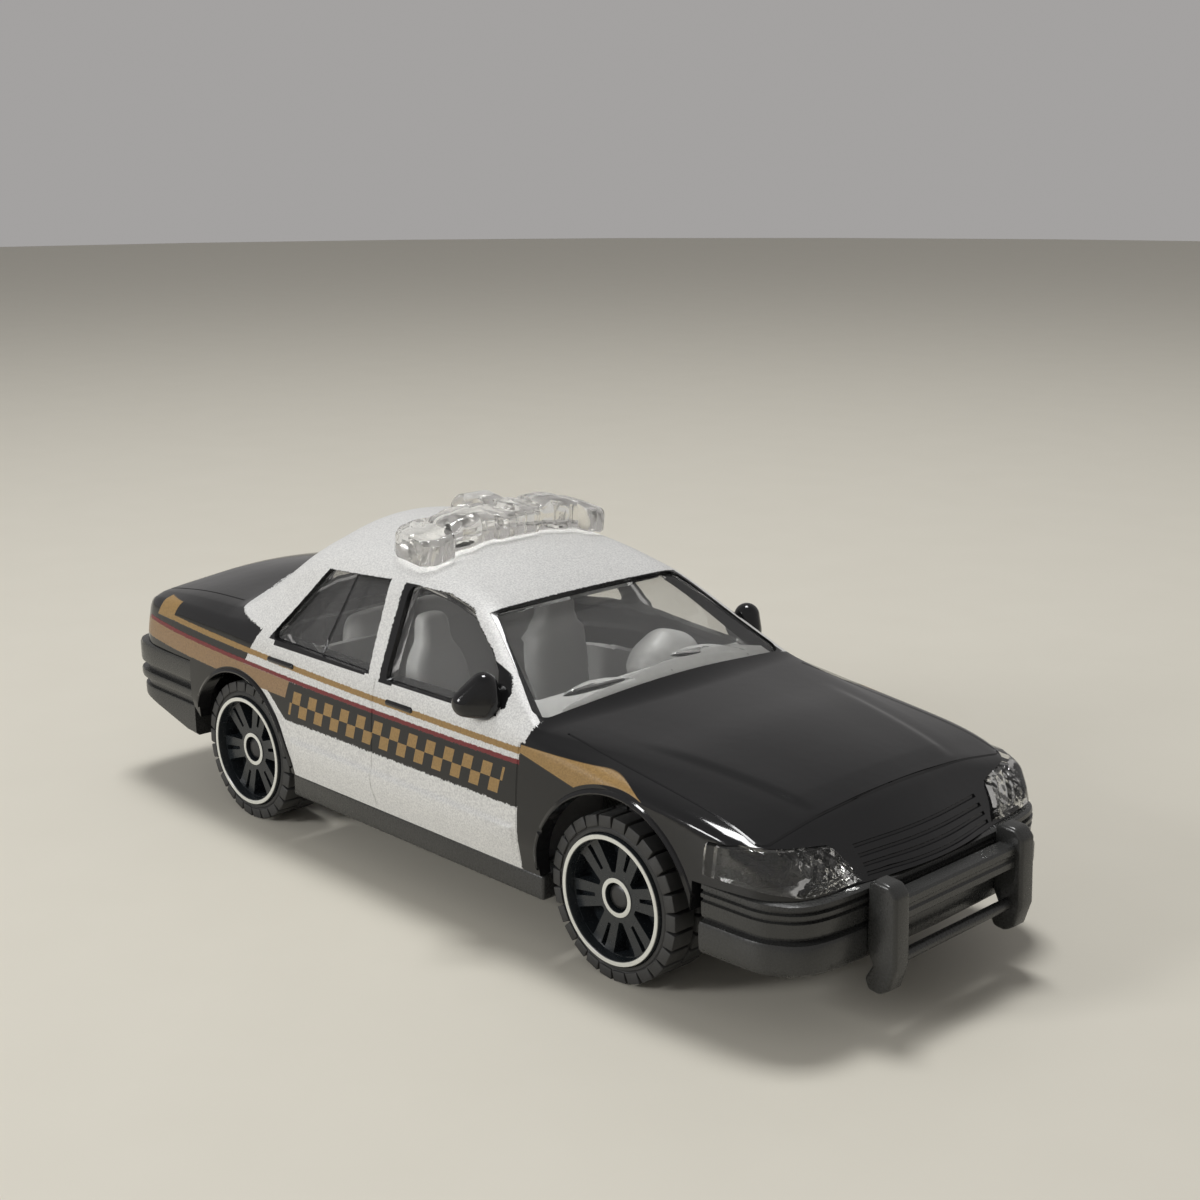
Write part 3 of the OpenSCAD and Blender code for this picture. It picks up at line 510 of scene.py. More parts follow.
def livery(shade):
    """White cabin and doors, bands, lines and chequers, printed with ragged edges on the black."""
    where, (x, y, z) = shade.place()
    half = abs(y)
    side = half.past(11.4)
    ragged = (shade.grain(where, 0.16, 3) - 0.5) * 0.42
    x_print = x + ragged
    z_print = z + ragged
    # White cabin and doors, up to the rear quarters, the boot and the bonnet
    cabin = 1 - x_print.past(12.8)
    cabin = cabin | z_print.past(14.6) * (1 - x_print.past(13.25))
    quarter = 1 - (x_print - (z - 16.4) * 0.6).past(-18.4)
    quarter = quarter * (1 - (z_print + (x + 18) * 0.16).past(16.3))
    deck = 1 - (x + ragged * 0.4 - (half - 13) * 0.62).past(-22.3)
    cowl = x_print.past(12.3) * (1 - (half + ragged * 0.5).past(12.15))
    cabin = cabin * (1 - quarter) * (1 - deck) * (1 - cowl)
    # Black borders round the windows, black sail panels behind the mirrors and black arch lips
    for corners, back_edge in ((rear_window, -16.0), (front_window, -2.4)):
        cabin = cabin * outside(x, z, corners, window_r).past(ragged * 0.5 + 0.04)
        below = z.between(15.55, 16.35) * x.between(back_edge - 0.4, corners[1][0] + 0.2)
        cabin = cabin * (1 - (below + ragged * below).past(0.5, 0.3))
    door_edge = (x_print + (z - 16.1) * 0.14).between(-3.05, -1.5) * z.between(15.4, 22.1)
    climb, length, _ = slope_of(screen_low, screen_high)
    up = (x - screen_low[0]) * climb.x + (z - screen_low[2]) * climb.z
    pane = [(0, -20), (length, -20), (length, screen_high[1]), (0, screen_low[1])]
    screen = outside(up, half, pane, 0).past(ragged * 0.5 + 0.13) | (1 - x.between(2, 20))
    sail = (z_print + (x - 8.6) * 1.1).between(16.2, 18.9) * x_print.between(7.6, 10.2)
    sail = sail * z_print.past(16.1) * half.past(11.5)
    arch_lips = outside_circle(x, z, front_arch, 0.4) * outside_circle(x, z, rear_arch, 0.45)
    cabin = cabin * (1 - door_edge) * screen * (1 - sail) * arch_lips
    # Black door band with two rows of chequers
    door_front = 12.9
    band = z_print.between(10.05, 13.2) * (x_print + (z - 11.6) * 1.29).past(-16.4)
    band = band * (1 - x.past(door_front)) * side
    cell = 1.02
    slant = x - z * 0.25
    row = shade.maths("FLOOR", (z - 10.55) * (1 / cell))
    column = shade.maths("FLOOR", slant * (1 / cell))
    chequer = shade.maths("FLOORED_MODULO", row + column, 2) * band
    chequer = chequer * z.between(10.58, 10.52 + 2 * cell, 0.02) * slant.between(-16.6, 8.4)
    # Gold and red lines, the tan band and gold flash at the tail, and the swoosh on the front wing
    gold_z = z - (x * x * 0.0005 - x * 0.012) + ragged * 0.5
    red_z = z - (x * x * 0.00067 - x * 0.004) + ragged * 0.5
    red_low = 13.02
    gold_line = gold_z.between(13.85, 14.3) * x.between(-33.5, door_front) * side
    red_line = red_z.between(red_low, 13.34) * x.between(-36, door_front) * side
    tail = 1 - (x + 14.3 - (z - 12) * 0.35).past(0)
    tan_band = red_z.between(11.6, red_low) * tail * side * arch_lips
    flash = (x - (z - 14.9) * 0.5).between(-34.3, -31.5) * z.between(14.7, 16.3) * side
    crest = (x - 20) | 0
    swoosh = (1 - (z + crest * crest * 0.062).past(14.45)) * x.between(door_front, 24.2) * side
    swoosh = swoosh * outside_circle(x, z, front_arch, 0.62) * (z + (x - door_front) * 0.2).past(13.9)
    colour = cabin.blend(black, white)
    for mask, tone in ((band, black), (chequer, gold), (tan_band, tan), (gold_line, gold), (flash, gold),
                       (red_line, red), (swoosh, gold)):
        colour = mask.blend(colour, tone)
    # A pearly speckle in all that is printed, and a faint orange peel
    printed = cabin * (1 - band) | gold_line | flash | red_line | tan_band | swoosh | chequer
    speckle = shade.grain(where, 0.13, 3)
    stops = [(0.36, (0.74, 0.74, 0.75, 1)), (0.64, (1, 1, 1, 1))]
    pearl = shade.node("ValToRGB", {"stops": stops}, {0: speckle})
    colour = shade.node("Mix", {"data_type": "RGBA", "blend_type": "MULTIPLY"},
                        {"Factor": printed, 6: colour, 7: pearl}, 2)
    height = shade.grain(where, 0.9, 1) * 0.4 + speckle * printed
    return {"Base Color": colour, "Roughness": printed * 0.27 + (speckle * 0.08 + 0.05),
            "Normal": shade.bump(height, 0.02)}


def enamel(shade):
    """Gloss black enamel with a faint orange peel and fine dust."""
    where, _ = shade.place()
    peel = shade.grain(where, 0.9, 1)
    dust = shade.grain(where, 0.11, 2)
    return {"Base Color": black, "Roughness": dust * 0.12 + 0.06, "Normal": shade.bump(peel, 0.01)}


def tail_lens(shade):
    where, (x, y, z) = shade.place()
    ribs = shade.maths("SINE", z * 16)
    glow = shade.grain(where, 0.4) * 0.6 + ribs * 0.2
    return {"Base Color": glow.blend((0.17, 0.006, 0.006, 1), (0.32, 0.016, 0.013, 1)),
            "Roughness": 0.14, "Normal": shade.bump(ribs, 0.03)}


black_enamel = finish("black_enamel", enamel)
paints = [finish("livery", livery), black_enamel, finish("tail_lamp_red", tail_lens)]
outer_rings = sections(0, 0, 14, 0, 9, [0, 16, 20, 10, 14, 44])
casting = piece_of("body_casting.shell", paints, skin([[pressed(p) for p in ring] for ring in outer_rings]))


def tree_of(piece):
    return BVHTree.FromPolygons([v.co / MM for v in piece.data.vertices],
                                [tuple(face.vertices) for face in piece.data.polygons])


outer_tree = tree_of(casting)


def on_body(start, way, out):
    """The place where a line meets the body's skin, moved back out by some way."""
    return outer_tree.ray_cast(Vector(start), Vector(way))[0] - Vector(way) * out


def on_side(x, z, out=0.0):
    return on_body((x, -40, z), (0, 1, 0), out)


def on_top(x, y, out=0.0):
    return on_body((x, y, 60), (0, 0, -1), out)


def on_front(y, z, out=0.0):
    return on_body((60, y, z), (-1, 0, 0), out)


def mirrored(outline, side):
    return [(u * side, v) for u, v in outline]


def spread(a, b, steps):
    return [a + (b - a) * i / steps for i in range(steps + 1)]


# Arch lips, the bonnet's front lip, door handles and tail lamps, joined to the skin
both = (1, -1)
lip_r, lip_out, lip_sunk = 0.3, 0.1, 0.12
lips = []
for (x, z, r), start, stop in ((front_arch, -6, 184), (rear_arch, -2, 158)):
    lip = []
    for turn in spread(math.radians(start), math.radians(stop), 48):
        up = max(skirt_h + 0.7, z + (r + lip_out) * math.sin(turn))
        lip.append(on_side(x + (r + lip_out) * math.cos(turn), up, -lip_sunk))
    lips += [tube(flip(lip, side), lip_r) for side in both]
lip_ys = spread(-8.6, 8.6, 40)
bonnet_lip = [on_top(33.05 - 0.35 * smooth_step((abs(y) - 6) / 3), y, -0.1) for y in lip_ys]
lips.append(tube(bonnet_lip, [0.2 * math.sqrt(1 - (y / 8.7) ** 2) + 0.02 for y in lip_ys]))
combine(casting, "UNION", lips)
handle_r, handle_sunk = 0.24, 0.08
handles = []
for x0, x1, z in ((-16.7, -13.6, 14.4), (-1.6, 1.1, 14.2)):
    ends = [on_side(x, z, -handle_sunk) for x in (x0, x1)]
    handles += [hull([(p, handle_r) for p in flip(ends, side)], 16) for side in both]
combine(casting, "UNION", handles, 1)
tail_lamp = rounded(rectangle(5.2, 12.5, 10.6, 14.4), 0.4)
tail_lamps = [prism(mirrored(tail_lamp, side), tail_x - 0.22, tail_x + 1, front_lay) for side in both]
combine(casting, "UNION", tail_lamps, 2)


def window_blocks(room):
    """Blocks that fill the six windows, smaller than the holes by the room left round them."""
    blocks = []
    for low, high in ((screen_low, screen_high), (back_low, back_high)):
        climb, length, out = slope_of(low, high)
        corners = [(screen_r, screen_r - low[1]), (length - screen_r, screen_r - high[1]),
                   (length - screen_r, high[1] - screen_r), (screen_r, low[1] - screen_r)]
        foot = Vector((low[0], 0, low[2]))
        blocks.append(prism(rounded(corners, screen_r - room, 8), -2.5, 2.5,
                            lambda u, v, h: foot + climb * u + Vector((0, v, 0)) + out * h))
    for corners in (rear_window, front_window):
        outline = rounded(corners, window_r - room, 6)
        blocks += [prism(outline, 5 * side, 17 * side, side_lay) for side in both]
    return blocks


# Cut away: the inside, windows, arches, lamp seats, peg holes, bumper spaces and bare plate place
well_y = 8.4
past_side = 20
cuts = [skin(sections(wall, 0, 14, 0, 6, [0, 4, 6, 6, 8, 16]))] + window_blocks(0)
for side in both:
    cuts += [prism(circle(*arch, 96), well_y * side, past_side * side, side_lay)
             for arch in (front_arch, rear_arch)]
    lamp_seat = mirrored(rounded(lamp_outline, seat_gap, 2), side)
    cuts.append(prism(lamp_seat, lamp_back_x, nose_x + 2, front_lay))
    cuts.append(prism(circle(bar_x, peg_y * side, peg_r + seat_gap, 32), roof_h - 4, roof_h + 2))
front_space = rectangle(lamp_back_x - 1, -past_side, lamp_back_x + 19, past_side)
rear_space = rectangle(rear_face_x - 20, -past_side, rear_face_x, past_side)
plate_place = rounded(rectangle(-3.4, 12.55, 3.4, 14.2), 0.25)
cuts += [prism(front_space, 0, bumper_top + seat_gap), prism(rear_space, 0, rear_bumper_top + seat_gap),
         prism(plate_place, tail_x - 1, tail_x + 0.25, front_lay)]

# Fine grooves: round the bonnet, along the boot lid, across the grille and down the doors
groove_r, door_groove_r, grille_r, groove_out = 0.11, 0.09, 0.15, 0.03
bonnet_edge = [on_top(x, -(12.35 + (x - 26) * 0.03), groove_out) for x in spread(15.5, 32.4, 40)]
bonnet_edge += [on_top(32.4 + 0.7 * math.sin(a), -11.8 - 0.74 * math.cos(a), groove_out)
                for a in spread(0.2, math.pi / 2, 6)]
bonnet_edge += [on_top(33.1, y, groove_out) for y in spread(-11.4, 0.0, 30)]
boot_edge = [on_top(x, -10.9, groove_out) for x in spread(-36.0, -24.6, 20)]
for edge in (bonnet_edge, boot_edge):
    cuts += [tube(flip(edge, side), groove_r, 6) for side in both]
for z in (9.95, 10.45, 10.95, 11.45):
    cuts.append(tube([on_front(y, z, 0.04) for y in spread(-6.4, 6.4, 32)], grille_r, 6))
combine(casting, "DIFFERENCE", cuts, 1)
door_cuts = []
for x, top in ((12.75, 14.6), (-3.3, 15.6)):
    door_edge = [on_side(x, z, groove_out) for z in spread(skirt_h + 0.4, top, 60)]
    door_cuts += [tube(flip(door_edge, side), door_groove_r, 6) for side in both]
combine(casting, "DIFFERENCE", door_cuts)

# A thin bar in each rear door's window, the mirrors, and the rivet posts, peened over below the base
divider_r, divider_sunk = 0.17, 0.55
divider = [on_side(x, z, -divider_sunk) for x, z in zip(spread(-10.6, -9.7, 12), spread(15.9, 21.9, 12))]
additions = [tube(flip(divider, side), divider_r) for side in both]
mirror = Vector((8.0, -half_w - 0.05, belt_h + 1.75))
mirror_balls = [((-0.1, -0.05, -0.75), 1.0), ((0.6, 1.05, -0.8), 1.25), ((0.6, 0.95, 0.35), 1.0)]
for side in both:
    additions.append(hull([(flip([mirror + Vector(p)], side)[0], r) for p, r in mirror_balls], 48))
post_r, peen_r, peen_t = 1.5, 2.0, 0.55
floor_h = 3.6
front_post_x, rear_post_x = nose_x - 6.5, tail_x + 7.2
for x, top in ((front_post_x, bonnet_h - 0.6), (rear_post_x, deck_h - 1)):
    additions.append(prism(circle(x, 0, post_r, 32), floor_h, top))
    additions.append(prism(circle(x, 0, peen_r, 32), floor_h, floor_h + peen_t))
combine(casting, "UNION", additions, 1)
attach(casting, "body")
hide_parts("body_casting")

# Light bar. One clear moulding bowed and tilted like the roof, with two beacon domes between
# ribbed lamp blocks and a siren pod behind, held by two pegs through the roof.
bar_end = 9.2
bar_h = 1.9
bar_bow = 1.15
bar_tilt = math.radians(7)
bar_foot_edge, bar_top_r = 0.15, 0.55
dome_r, dome_half, dome_rise = 2.08, 1.95, 0.45
bar_plan = [(0, 2.1), (1.84, 2.1), (2.2, 1.75), (6.4, 1.75), (6.8, 2.5), (8.3, 2.5), (8.9, 2.1), (9.2, 1.5)]
rib_pitch, rib_depth, rib_half = 0.92, 0.12, 0.14
pod = [((-3.5, -1.05, 0.95), 1.05), ((-3.5, 1.05, 0.95), 1.05), ((1.1, 0, 1.8), 0.525)]


def lamp_plastic(shade):
    where, _ = shade.place()
    ripple = shade.grain(where, 0.8, 2)
    scuff = shade.grain(where, 0.25, 3)
    return {"Base Color": (0.95, 0.94, 0.91, 1), "Transmission Weight": 0.95, "IOR": 1.44,
            "Roughness": scuff * 0.1 + 0.02, "Normal": shade.bump(ripple, 0.012)}


def read_off(table, at):
    for (a, first), (b, second) in zip(table, table[1:]):
        if at <= b:
            return first + (second - first) * (at - a) / (b - a)
    return table[-1][1]


def on_bar(p):
    x, y, z = p
    return (bar_x + x * math.cos(bar_tilt) + z * math.sin(bar_tilt), y,
            roof_h - x * math.sin(bar_tilt) + z * math.cos(bar_tilt))


def bar_section(y):
    """The bar's cross-section at y: a block with rounded top edges, taller and rounder at a dome."""
    near = abs(abs(y) - peg_y) / dome_r
    dome = math.sqrt(1 - near * near) if near < 1 else 0
    half = max(read_off(bar_plan, abs(y)), dome_half * dome)
    rib = abs((abs(y) / rib_pitch) % 1 - 0.5) * rib_pitch
    half -= rib_depth * (1 - smooth_step(rib / rib_half)) * (1 - smooth_step(dome * 2))
    low = -bar_bow * (y / bar_end) ** 2
    high = low + bar_h + dome_rise * dome
    r = bar_top_r * (1 + dome)
    ring = [(bar_foot_edge - half, low), (half - bar_foot_edge, low), (half, low + bar_foot_edge)]
    for middle, start in ((half - r, 0), (r - half, math.pi / 2)):
        ring += [(middle + r * math.cos(turn), high - r + r * math.sin(turn))
                 for turn in spread(start, start + math.pi / 2, 8)]
    ring.append((-half, low + bar_foot_edge))
    return [on_bar((u, y, v)) for u, v in ring]


lamp_clear = [finish("lamp_clear", lamp_plastic, 0.55)]
bar_rings = [bar_section(y) for y in spread(-bar_end, bar_end, 200)]
bar = piece_of("light_bar.moulding", lamp_clear, skin(bar_rings))
bar_parts = [hull([(on_bar(centre), r) for centre, r in pod], 40)]
bar_parts += [prism(circle(bar_x, peg_y * side, peg_r, 32), roof_h - 2.6, roof_h + 0.7) for side in both]
combine(bar, "UNION", bar_parts)
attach(bar, "body")
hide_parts("light_bar")

# Headlights. One clear moulding: two lenses that stand a little proud of the wings, with small
# cells and a bead along the lower edge, joined by a bar hidden behind the grille.
lamp_wall = wall + 0.4
lens_proud = 0.25
link_x, link_z, link_t, link_y = nose_x - 3.9, bumper_top + 0.35, 0.75, half_w - 4
pillow_r, pillow_pitch, pillow_rise = 0.3, 0.62, 0.52
bead_r = 0.17


def lens_plastic(shade):
    where, (x, y, z) = shade.place()
    half = abs(y)
    wave = 2 * math.pi
    cells = shade.maths("SINE", (half + z * 0.1) * wave) * shade.maths("SINE", z * wave)
    cells = cells * half.between(7.7, 11.4, 0.3) * z.past(10.35, 0.2)
    return {"Base Color": (0.88, 0.88, 0.86, 1), "Transmission Weight": 0.99, "IOR": 1.47,
            "Roughness": shade.grain(where, 0.4, 2) * 0.05,
            "Normal": shade.bump(shade.grain(where, 0.9, 2) * 0.2 + cells, 0.06)}


lens_clear = [finish("lens_clear", lens_plastic, 0.6)]
lens_parts = []
for side in both:
    lens = skin(sections(-lens_proud, 0, 4, 0, 9, [0, 6, 10, 10, 14, 30]))
    combine(lens, "INTERSECT", [prism(mirrored(lamp_outline, side), lamp_back_x, nose_x + 2, front_lay)])
    combine(lens, "DIFFERENCE", [skin(sections(lamp_wall, 0, 4, 0, 6, [0, 5, 6, 6, 8, 12]))])
    lens_parts.append(lens)
headlights = piece_of("headlights.moulding", lens_clear, lens_parts.pop())
link = rectangle(link_x, -link_y, link_x + link_t, link_y)
lens_parts.append(prism(link, link_z, link_z + link_t))
for side in both:
    for row in range(3):
        for column in range(6):
            y = 8.0 + (column + row % 2 / 2) * pillow_pitch
            z = 10.35 + row * pillow_rise
            back = on_front(y, z).x - lamp_wall
            lens_parts.append(hull([((back + along, side * y, z), pillow_r) for along in (-0.08, 0.5)], 16))
    bead = [on_front(y, 10.12, bead_r) for y in spread(7.75, 12.6, 24)]
    lens_parts.append(tube(flip(bead, side), bead_r, 10))
combine(headlights, "UNION", lens_parts)
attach(headlights, "body")
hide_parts("headlight_insert")

# Glazing. One clear moulding dropped in under the roof, with a pane raised on it in each window,
# a little below the casting's skin, and two wipers moulded on the windscreen.
glass_in, glass_t = wall + 0.18, 0.4
glass_low = belt_h - 0.3
pane_in = 0.35
# The black slits sized here are painted shade inside the glass corners behind the windscreen pillars
shade_slit_r, shade_slit_depths = 0.12, (0.7, 2.8)
wiper_rise = 0.4


def window_plastic(shade):
    where, _ = shade.place()
    ripple = shade.grain(where, 2.5, 1)
    return {"Base Color": (0.90, 0.90, 0.89, 1), "Transmission Weight": 0.975, "IOR": 1.46,
            "Roughness": shade.grain(where, 1.2, 3) * 0.03, "Normal": shade.bump(ripple, 0.01)}


def cabin_skin(depth, rail_soft):
    """The cabin's form above the waist, drawn in by depth."""
    return skin(sections(depth, 5, 10, 2, 12, [0, 0, 8, 8, 12, 24], rail_soft))


# The black enamel slot paints the slits of painted shade behind the windscreen pillars
window_clear = [finish("window_clear", window_plastic, 0.85), black_enamel]
glazing = piece_of("glazing.moulding", window_clear, cabin_skin(glass_in, 0.25))
combine(glazing, "INTERSECT", [prism(rectangle(-50, -20, 50, 20), glass_low, 40)])
panes = window_blocks(seat_gap)
for pane in panes:
    combine(pane, "INTERSECT", [cabin_skin(pane_in, 0.06)])
combine(glazing, "UNION", panes)
# The hollow inside, room for the light bar's pegs, and a black slit of painted shade behind each windscreen
# pillar
cuts = [cabin_skin(glass_in + glass_t, 0.1)]
pillar_shade_slits = []
for side in both:
    cuts.append(prism(circle(bar_x, peg_y * side, peg_r + seat_gap, 24), roof_h - 5, roof_h + 1))
    # Each slit is a thin black blade of painted shade that darkens the glass corner behind a windscreen
    # pillar
    shade_blade = [p - Vector((0.45, 0.8, 0.8)) * depth for p in rail_line[5:7] for depth in shade_slit_depths]
    pillar_shade_slits.append(hull([(p, shade_slit_r) for p in flip(shade_blade, side)], 8))
combine(glazing, "DIFFERENCE", cuts)
combine(glazing, "DIFFERENCE", pillar_shade_slits, 1)
glass_tree = tree_of(glazing)
screen_climb, _, screen_out = slope_of(screen_low, screen_high)


def on_screen(up, y, out):
    """The place up the windscreen's slope from its lower edge, and across, moved out by some way."""
    start = Vector((screen_low[0], y, screen_low[2])) + screen_climb * up + screen_out * 3
    return glass_tree.ray_cast(start, -screen_out)[0] + screen_out * out


def leaf(tip, foot, belly, lift):
    """A wiper's outline on the windscreen, from its tip along one edge to its foot and back."""
    edge = []
    for way in (1, -1):
        for t in spread(0, 1, 24)[:-1]:
            t = t if way > 0 else 1 - t
            width = belly * way * math.sin(math.pi * t ** 0.8) ** 0.8 + lift * math.sin(math.pi * t)
            edge.append((tip[0] + (foot[0] - tip[0]) * t + width, tip[1] + (foot[1] - tip[1]) * t))
    return edge


def relief(outline, height):
    """A thin crowned plate with the given outline, lying on the windscreen and sunk a little into it."""
    middle = Vector([sum(values) / len(outline) for values in zip(*outline)])
    n, rings, sunk = len(outline), 8, -0.15
    points = []
    for crowned in (True, False):
        for share in spread(0, 1, rings)[1:]:
            out = height * math.sqrt(1.02 - share ** 4) if crowned else sunk
            points += [on_screen(*middle.lerp(Vector(p), share), out) for p in outline]
        points.append(on_screen(*middle, height if crowned else sunk))
    size = n * rings + 1
    edge = (rings - 1) * n
    faces = []
    for i in range(n):
        j = (i + 1) % n
        for start in (0, size):
            faces += [(start + k + i, start + k + j, start + k + n + j, start + k + n + i)
                      for k in range(0, edge, n)]
            faces.append((start + i, start + j, start + size - 1))
        faces.append((edge + i, edge + j, size + edge + j, size + edge + i))
    return solid(points, faces)


wipers = [relief(leaf((1.45, -9.2), (0.8, -2.9), 0.42, 0.25), wiper_rise),
          relief(leaf((1.95, 1.6), (0.85, 9.2), 0.5, 0.3), wiper_rise)]
combine(glazing, "UNION", wipers)
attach(glazing, "body")
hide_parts("window_glazing")

# Wiper strip. The frosted foot of the windscreen, a thin raised part of the clear moulding that
# carries the wipers.
strip_top = [(0.5, -9.6), (0.85, -6.5), (1.25, -3), (1.6, 0.5), (1.75, 5), (1.65, 9), (1.1, 11.2)]
strip_foot = [(0.12, 11.6), (0.1, 6), (0.1, 0), (0.1, -6), (0.15, -10.4)]
frost_rise = 0.1


def frosted_plastic(shade):
    where, _ = shade.place()
    cloud = shade.grain(where, 0.7, 3)
    return {"Base Color": cloud.blend((0.40, 0.40, 0.385, 1), (0.52, 0.52, 0.50, 1)),
            "Transmission Weight": 0.55, "IOR": 1.46, "Roughness": cloud * 0.2 + 0.22}


frosted = [finish("frosted_clear", frosted_plastic, 0.6)]
wiper_strip = piece_of("glazing.wiper_strip", frosted, relief(strip_top + strip_foot, frost_rise))
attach(wiper_strip, "body")

# Interior. One grey moulding with the floor, side walls and bulkhead, two bucket seats with head
# rests, a rear bench, the dashboard and the steering wheel, standing on the base.
floor_top = 5.0
tub_y = 11.9
tub_back, tub_front = rear_x + rear_arch[2] + 0.6, cowl_x - 2
wall_t, wall_top, bulkhead_top = 0.6, 12.4, 15.2
seat_x, seat_y, bench_y = -4, 6, 4
squab_low, squab_top, squab_r = floor_top + 0.5, floor_top + 3.5, 1.6
# Each row of a seat back is its height, half width, half depth and lean
seat_profile = [(6.0, 2.9, 1.6, 0), (9.5, 2.9, 1.6, -0.35), (13.4, 2.75, 1.4, -0.95),
                (15.3, 2.5, 1.2, -1.25), (16.2, 1.6, 1.0, -1.4), (16.9, 1.4, 0.95, -1.45),
                (18.1, 1.4, 0.85, -1.55), (18.65, 0.9, 0.5, -1.6)]
bench_profile = [(6.0, 8.0, 1.6, 0), (12.0, 8.0, 1.5, -0.7), (15.5, 7.8, 1.3, -1.2),
                 (16.6, 7.3, 1.0, -1.4), (17.05, 6.6, 0.5, -1.5)]
dash_profile = [(cowl_x - 6.6, floor_top), (tub_front, floor_top), (cowl_x - 2.1, cowl_h - 3),
                (cowl_x - 3.4, cowl_h - 1.6), (cowl_x - 6, cowl_h - 0.9), (cowl_x - 6.8, cowl_h - 1.8)]
steering_wheel = [((6.4, 5.2, 14.2), 2.1), ((6.4, 7.0, 14.2), 2.1), ((6.3, 5.9, 15.0), 1.7),
                  ((8.2, 6.0, 13.6), 1.0)]


def plastic(dark, light, blotch, detail, speck, rough, bump):
    """A moulded plastic blotched from dark to light, with a speck in its gloss and its surface."""
    def sockets(shade):
        where, _ = shade.place()
        fine = shade.grain(where, speck, 3)
        return {"Base Color": shade.grain(where, blotch, detail).blend((*dark, 1), (*light, 1)),
                "Roughness": fine * rough[0] + rough[1], "Normal": shade.bump(fine, bump)}
    return sockets


def moulded_back(profile, x, y):
    """A seat back lofted through rounded sections and smoothed."""
    rings = []
    for z, half, depth, lean in profile:
        rings.append([(x + lean + depth * math.copysign(abs(c) ** 0.7, c),
                       y + half * math.copysign(abs(d) ** 0.55, d), z) for c, d in circle(0, 0, 1, 24)])
    back = skin(rings)
    smooth = back.modifiers.new("smooth", "SUBSURF")
    smooth.levels = smooth.render_levels = 2
    settle(back, 60)
    return back


seat_grey = [finish("seat_grey", plastic((0.36, 0.36, 0.35), (0.42, 0.42, 0.405), blotch=3, detail=2,
                                         speck=0.2, rough=(0.15, 0.38), bump=0.02))]
tub_floor = prism(rectangle(tub_back, -tub_y, tub_front, tub_y), floor_top, floor_top + 1)
interior = piece_of("interior.moulding", seat_grey, tub_floor)
interior_parts = [moulded_back(bench_profile, tub_back + 0.4, 0),
                  prism(rectangle(tub_back, -tub_y, tub_back + wall_t, tub_y), floor_top, bulkhead_top),
                  prism(dash_profile, -tub_y, tub_y, side_lay), hull(steering_wheel, 48)]
for side in both:
    side_wall = rectangle(tub_back, side * (tub_y - wall_t), tub_front, side * tub_y)
    squab = rectangle(seat_x, seat_y * side - 1.5, seat_x + 6, seat_y * side + 1.5)
    rear_squab = rectangle(tub_back + 1.6, bench_y * side - 2.3, tub_back + 6, bench_y * side + 2.3)
    interior_parts += [prism(side_wall, floor_top, wall_top),
                       moulded_back(seat_profile, seat_x, seat_y * side),
                       prism(rounded(squab, squab_r), squab_low, squab_top),
                       prism(rounded(rear_squab, squab_r), squab_low, squab_top)]
combine(interior, "UNION", interior_parts)
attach(interior, "body")
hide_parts("interior_tub")

# Base. One black moulding with the floor, sills, inner wheel arches, axle bearings, both bumpers
# and the push bar, riveted to the casting's two posts.
front_outline = [(nose_x - 7.7, half_w - 0.35), (nose_x - 3.1, half_w - 0.5), (nose_x - 0.6, half_w - 1.9),
                 (nose_x + 0.1, half_w - 5), (nose_x + 0.3, 0)]
rear_outline = [(rear_face_x, half_w - 0.3), (tail_x + 1.4, half_w - 0.6), (tail_x - 1, half_w - 1.7),
                (tail_x - 1.5, half_w - 4.8), (tail_x - 1.5, 0)]
bumper_soft = [0, 0.6, 0.9, 0.9, 0]
bumper_wall = 2.4
# Heights and depths of the bumpers' faces, from the lower edge up
front_face = [(4.75, 0.6), (4.85, 0.25), (5.1, 0.06), (5.7, 0.0), (6.7, 0.0), (6.93, 0.1), (6.98, 0.4),
              (7.05, 0.5), (7.18, 0.5), (7.22, 0.32), (7.4, 0.25), (8.05, 0.22), (8.25, 0.2), (8.33, 0.4),
              (8.47, 0.4), (8.55, 0.18), (8.8, 0.18), (8.88, 0.4), (9.02, 0.4), (9.1, 0.2), (9.36, 0.24),
              (9.5, 0.45)]
rear_face = [(5.3, 0.5), (5.6, 0.22), (7.8, 0.2), (7.93, 0.25), (8.0, 0.5), (8.6, 0.5), (8.67, 0.05),
             (8.8, 0.0), (9.2, 0.0), (9.33, 0.05), (9.4, 0.5), (10.0, 0.5), (10.07, 0.05), (10.2, 0.0),
             (11.5, 0.0), (11.8, 0.1), (11.9, 0.35)]
tyre_r, wheel_room = 5.7, 0.45
sill_end = front_x - tyre_r - wheel_room - 0.3
boss_half, boss_y, bore_r = 1.7, 9.0, 0.6
floor_y, floor_t = 8.0, 1.4
floor_back = rear_post_x - 2.9
rear_low, rear_high, rear_end = 5.3, 7.8, tail_x - 2.5
inner_wing_y, inner_wing_t, inner_wing_top = 7.9, 0.6, 11.9
push_x, push_h, push_low = nose_x + 2.4, 10.2, floor_h - 0.8
push_y, push_t, push_depth = 6.7, 1.5, 2.3
# The push bar's uprights and ribbed cross bar from the side, back from its front
upright = [(push_depth, push_h - 0.3), (push_depth - 0.5, push_h), (0.7, push_h - 0.1), (0.15, push_h - 0.7),
           (0, floor_h + 1.3), (0.5, push_low + 0.5), (1.2, push_low), (2.1, push_low + 0.1),
           (2.4, push_low + 0.8), (1.8, floor_h + 1), (push_depth, floor_h + 2)]
cross_bar = [(1.8, 7.4), (0.75, 7.4), (0.6, 7.55), (0.6, 7.95), (0.75, 8.1), (0.75, 8.3), (0.6, 8.45),
             (0.6, 8.85), (0.75, 9.0), (1.8, 9.0)]


